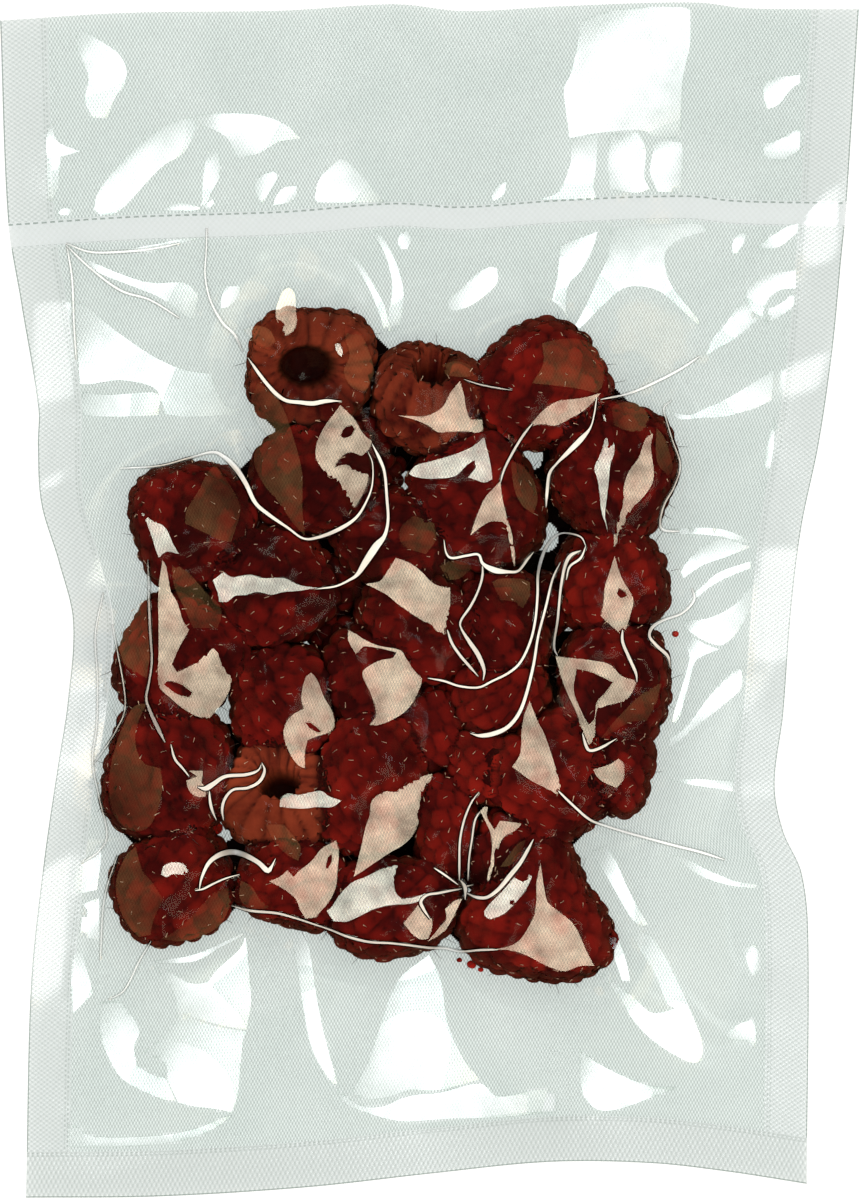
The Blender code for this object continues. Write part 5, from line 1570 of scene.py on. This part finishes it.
# The crest is painted a milky cream as a highlight, near white on the flats, and the bends are painted near
# black as shade.
creased, tree, surface = blank_material("creased_film")
fold = add_node(tree, "Attribute", {"attribute_name": "fold"})
crest_highlight, bend_shade, fruit_part = add_node(
    tree, "SeparateColor", Color=fold.outputs["Color"]).outputs
highlight_colour = blend_colours(tree, noise(tree, 420.0, 2.0), (0.76, 0.69, 0.59, 1), (0.95, 0.89, 0.80, 1))
highlight_colour = blend_colours(tree, fruit_part, (0.92, 0.93, 0.92, 1), highlight_colour)
painted_highlight = add_node(tree, "BsdfDiffuse", Color=highlight_colour)
tint = blend_colours(tree, bend_shade, (1.0, 1.0, 0.99, 1), (0.10, 0.09, 0.08, 1))
see = add_node(tree, "BsdfTransparent", Color=tint)
body = add_node(tree, "MixShader", i0=maths(tree, "MULTIPLY", crest_highlight, 0.88),
                i1=see.outputs[0], i2=painted_highlight.outputs[0])
shine = add_node(tree, "BsdfAnisotropic", {"distribution": "BECKMANN"}, Color=(1, 1, 1, 1),
                 Roughness=0.08)
film = add_node(tree, "MixShader", i0=0.12, i1=body.outputs[0], i2=shine.outputs[0])
tree.links.new(film.outputs[0], surface)
film_pleats.data.materials.append(creased)
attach(film_pleats, "root")


# --------------------------------------
# The side and foot welds. Both films were melted together in a band as wide as a finger nail,
# stamped with a coarse mesh, and trimmed at the bag's outer edge.
# --------------------------------------
WELD_THICK_TINT = (0.5, 0.56, 0.53)
WELD_DARK = (0.72, 0.75, 0.74)


def pressed_line(tree, value, at, half, along, pitch, share=0.0):
    """1 on a line half as wide as given to each side, dashed along it by a pitch, else 0."""
    off = maths(tree, "ABSOLUTE", maths(tree, "SUBTRACT", value, at))
    line = maths(tree, "LESS_THAN", off, half)
    if pitch:
        dash = maths(tree, "SINE", maths(tree, "MULTIPLY", along, 2 * math.pi / pitch))
        line = maths(tree, "MULTIPLY", line, maths(tree, "GREATER_THAN", dash, share))
    return line


def weld_lines(tree, from_edge, along):
    """A thin line at a weld's outer edge and two faint dotted ones at its inner edge."""
    lines = pressed_line(tree, from_edge, 0.0, 0.22, along, 0)
    for at in (7.25, 7.75):
        dotted = pressed_line(tree, from_edge, at, 0.14, along, 0.95, -0.2)
        lines = maths(tree, "MAXIMUM", lines, maths(tree, "MULTIPLY", dotted, 0.35))
    return lines


def side_weld_lines(tree):
    """The lines of the weld at either side, which is measured from the nearer edge."""
    x, y = flat_film(tree)
    off_middle = maths(tree, "ABSOLUTE", maths(tree, "SUBTRACT", x, FLAT_WIDE / 2))
    return weld_lines(tree, maths(tree, "SUBTRACT", FLAT_WIDE / 2, off_middle), y)


def foot_weld_lines(tree):
    """The lines of the weld across the foot."""
    x, y = flat_film(tree)
    return weld_lines(tree, y, x)


left_band = stations((0, 0.003, 1), (0.003, WELD_SIDE, 12))
right_band = 1 - left_band[::-1]
side_welds = make_sheet("side_welds", [
    (left_band, stations((WELD_FOOT, SEAL_LOW, 190))),
    (left_band, stations((SEAL_HIGH, 1, 44))),
    (right_band, stations((WELD_FOOT, SEAL_LOW, 190))),
    (right_band, stations((SEAL_HIGH, 1, 44))),
], film_height)
side_welds.data.materials.append(film_material(
    "stamped_side_weld", (0.790, 0.820, 0.812), WELD_THICK_TINT, 0.22, 0.7, 0.22, (1.15, 0.8),
    weave_dark=WELD_DARK, weave_depth=0.012, lines=side_weld_lines))
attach(side_welds, "root")

foot_weld = make_sheet("foot_weld", [
    (stations((0, 1, 190)), stations((0, 0.0015, 1), (0.0015, WELD_FOOT, 12))),
], film_height)
foot_weld.data.materials.append(film_material(
    "stamped_foot_weld", (0.752, 0.782, 0.770), WELD_THICK_TINT, 0.22, 0.7, 0.22, (0.9, 1.6),
    weave_dark=WELD_DARK, weave_depth=0.012, lines=foot_weld_lines))
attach(foot_weld, "root")


# --------------------------------------
# The heat seal. After the air was out, a hot bar melted the two films into one smooth narrow
# band right across the bag. The real seal stands a little proud along both edges; here it lies flat, with a
# line along each edge.
# --------------------------------------
def seal_lines(tree):
    """A dashed line along the seal's upper edge and a thin one along its lower edge."""
    x, y = flat_film(tree)
    upper = pressed_line(tree, y, SEAL_HIGH * FLAT_LONG - 0.3, 0.15, x, 1.5, -0.3)
    lower = pressed_line(tree, y, SEAL_LOW * FLAT_LONG + 0.15, 0.1, x, 1.1, 0.0)
    return maths(tree, "MAXIMUM", upper, maths(tree, "MULTIPLY", lower, 0.5))


heat_seal = make_sheet("heat_seal", [
    (stations((0, 1, 260)), stations((SEAL_LOW, SEAL_HIGH, 12))),
], film_height)
heat_seal.data.materials.append(film_material(
    "melted_seal", (0.755, 0.785, 0.785), WELD_THICK_TINT, 0.25, 0.7, 0.12, (1.1, 1.1),
    weave_dark=(0.93, 0.94, 0.93), weave_depth=0.004, lines=seal_lines))
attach(heat_seal, "root")


# --------------------------------------
# The table, the lamps and the camera, which aren't part of the bag. A white table, lit softly
# from all round, and five lamps that show only in the film. The camera looks straight down.
# --------------------------------------
TABLE_SIZE = 9.0
TABLE_GLOW = 0.57  # keeps the fruit's shadow on the table faint
SKY_STRENGTH = 1.35
VIEW_HIGH = 0.20953  # how much the camera takes in from foot to mouth, in metres
steps = np.linspace(-TABLE_SIZE / 2, TABLE_SIZE / 2, 10) / MM
tx, ty = np.meshgrid(steps, steps, indexing="ij")
table = make_mesh("table", np.stack([tx, ty, np.zeros_like(tx)], -1).reshape(-1, 3),
                  grid_faces(tx.shape))
white, tree, surface = blank_material("white_table")
grain = add_node(tree, "TexNoise", Scale=60.0, Detail=3.0)
shade = blend_colours(tree, grain.outputs[0], (0.415, 0.415, 0.415, 1), (0.425, 0.425, 0.425, 1))
shader = add_node(tree, "BsdfPrincipled", Base_Color=shade, Roughness=0.8, Specular_IOR_Level=0.0,
                  Emission_Color=(1.0, 1.0, 1.0, 1.0), Emission_Strength=TABLE_GLOW)
tree.links.new(shader.outputs[0], surface)
table.data.materials.append(white)
white.cycles.emission_sampling = "NONE"
table.visible_glossy = False

world = bpy.data.worlds.new("studio")
bpy.context.scene.world = world
world.use_nodes = True
sky = world.node_tree.nodes["Background"]
sky.inputs[0].default_value = (1.0, 1.0, 1.0, 1)
sky.inputs[1].default_value = SKY_STRENGTH
world.cycles_visibility.glossy = False


def add_lamp(name, azimuth, polar, half, radiance):
    """A square soft lamp that faces the bag, half degrees to each side of its middle."""
    light = bpy.data.lights.new(name, "AREA")
    light.shape = "SQUARE"
    light.size = 2 * LAMPS_AWAY * math.tan(math.radians(half))
    # the shader sees energy / (pi * area) as radiance
    strength = max(radiance)
    light.energy = strength * math.pi * light.size**2
    light.color = [c / strength for c in radiance]
    lamp = bpy.data.objects.new(name, light)
    a, p = math.radians(azimuth), math.radians(polar)
    lamp.location = (LAMPS_AWAY * math.sin(p) * math.cos(a),
                     LAMPS_AWAY * math.sin(p) * math.sin(a), LAMPS_AWAY * math.cos(p))
    lamp.rotation_euler = (p, 0, a + math.pi / 2)
    bpy.context.scene.collection.objects.link(lamp)


add_lamp("broad_lamp", *WINDOWS["broad"], (2.02, 1.70, 1.25))
add_lamp("low_lamp", *WINDOWS["low"], (2.0, 2.05, 2.1))
add_lamp("cool_lamp", *WINDOWS["cool"], (2.55, 2.60, 2.20))
for name, way_round, down, half in (("dim_right_panel", 40, 40, 18),
                                    ("dim_left_panel", 188, 46, 20)):
    add_lamp(name, way_round, down, half, (0.19, 0.115, 0.045))

camera = bpy.data.objects.new("camera", bpy.data.cameras.new("camera"))
camera.location = (0, 0, CAMERA_AWAY)
camera.data.sensor_fit = "VERTICAL"
camera.data.sensor_height = 36.0
camera.data.lens = camera.data.sensor_height * (CAMERA_AWAY - 0.003) / VIEW_HIGH
camera.data.clip_end = 50
bpy.context.scene.collection.objects.link(camera)
bpy.context.scene.camera = camera
bpy.context.scene.view_settings.view_transform = "Standard"
light_paths = bpy.context.scene.cycles
light_paths.transparent_max_bounces = 16
light_paths.max_bounces = 4
light_paths.diffuse_bounces = 1
light_paths.glossy_bounces = 1
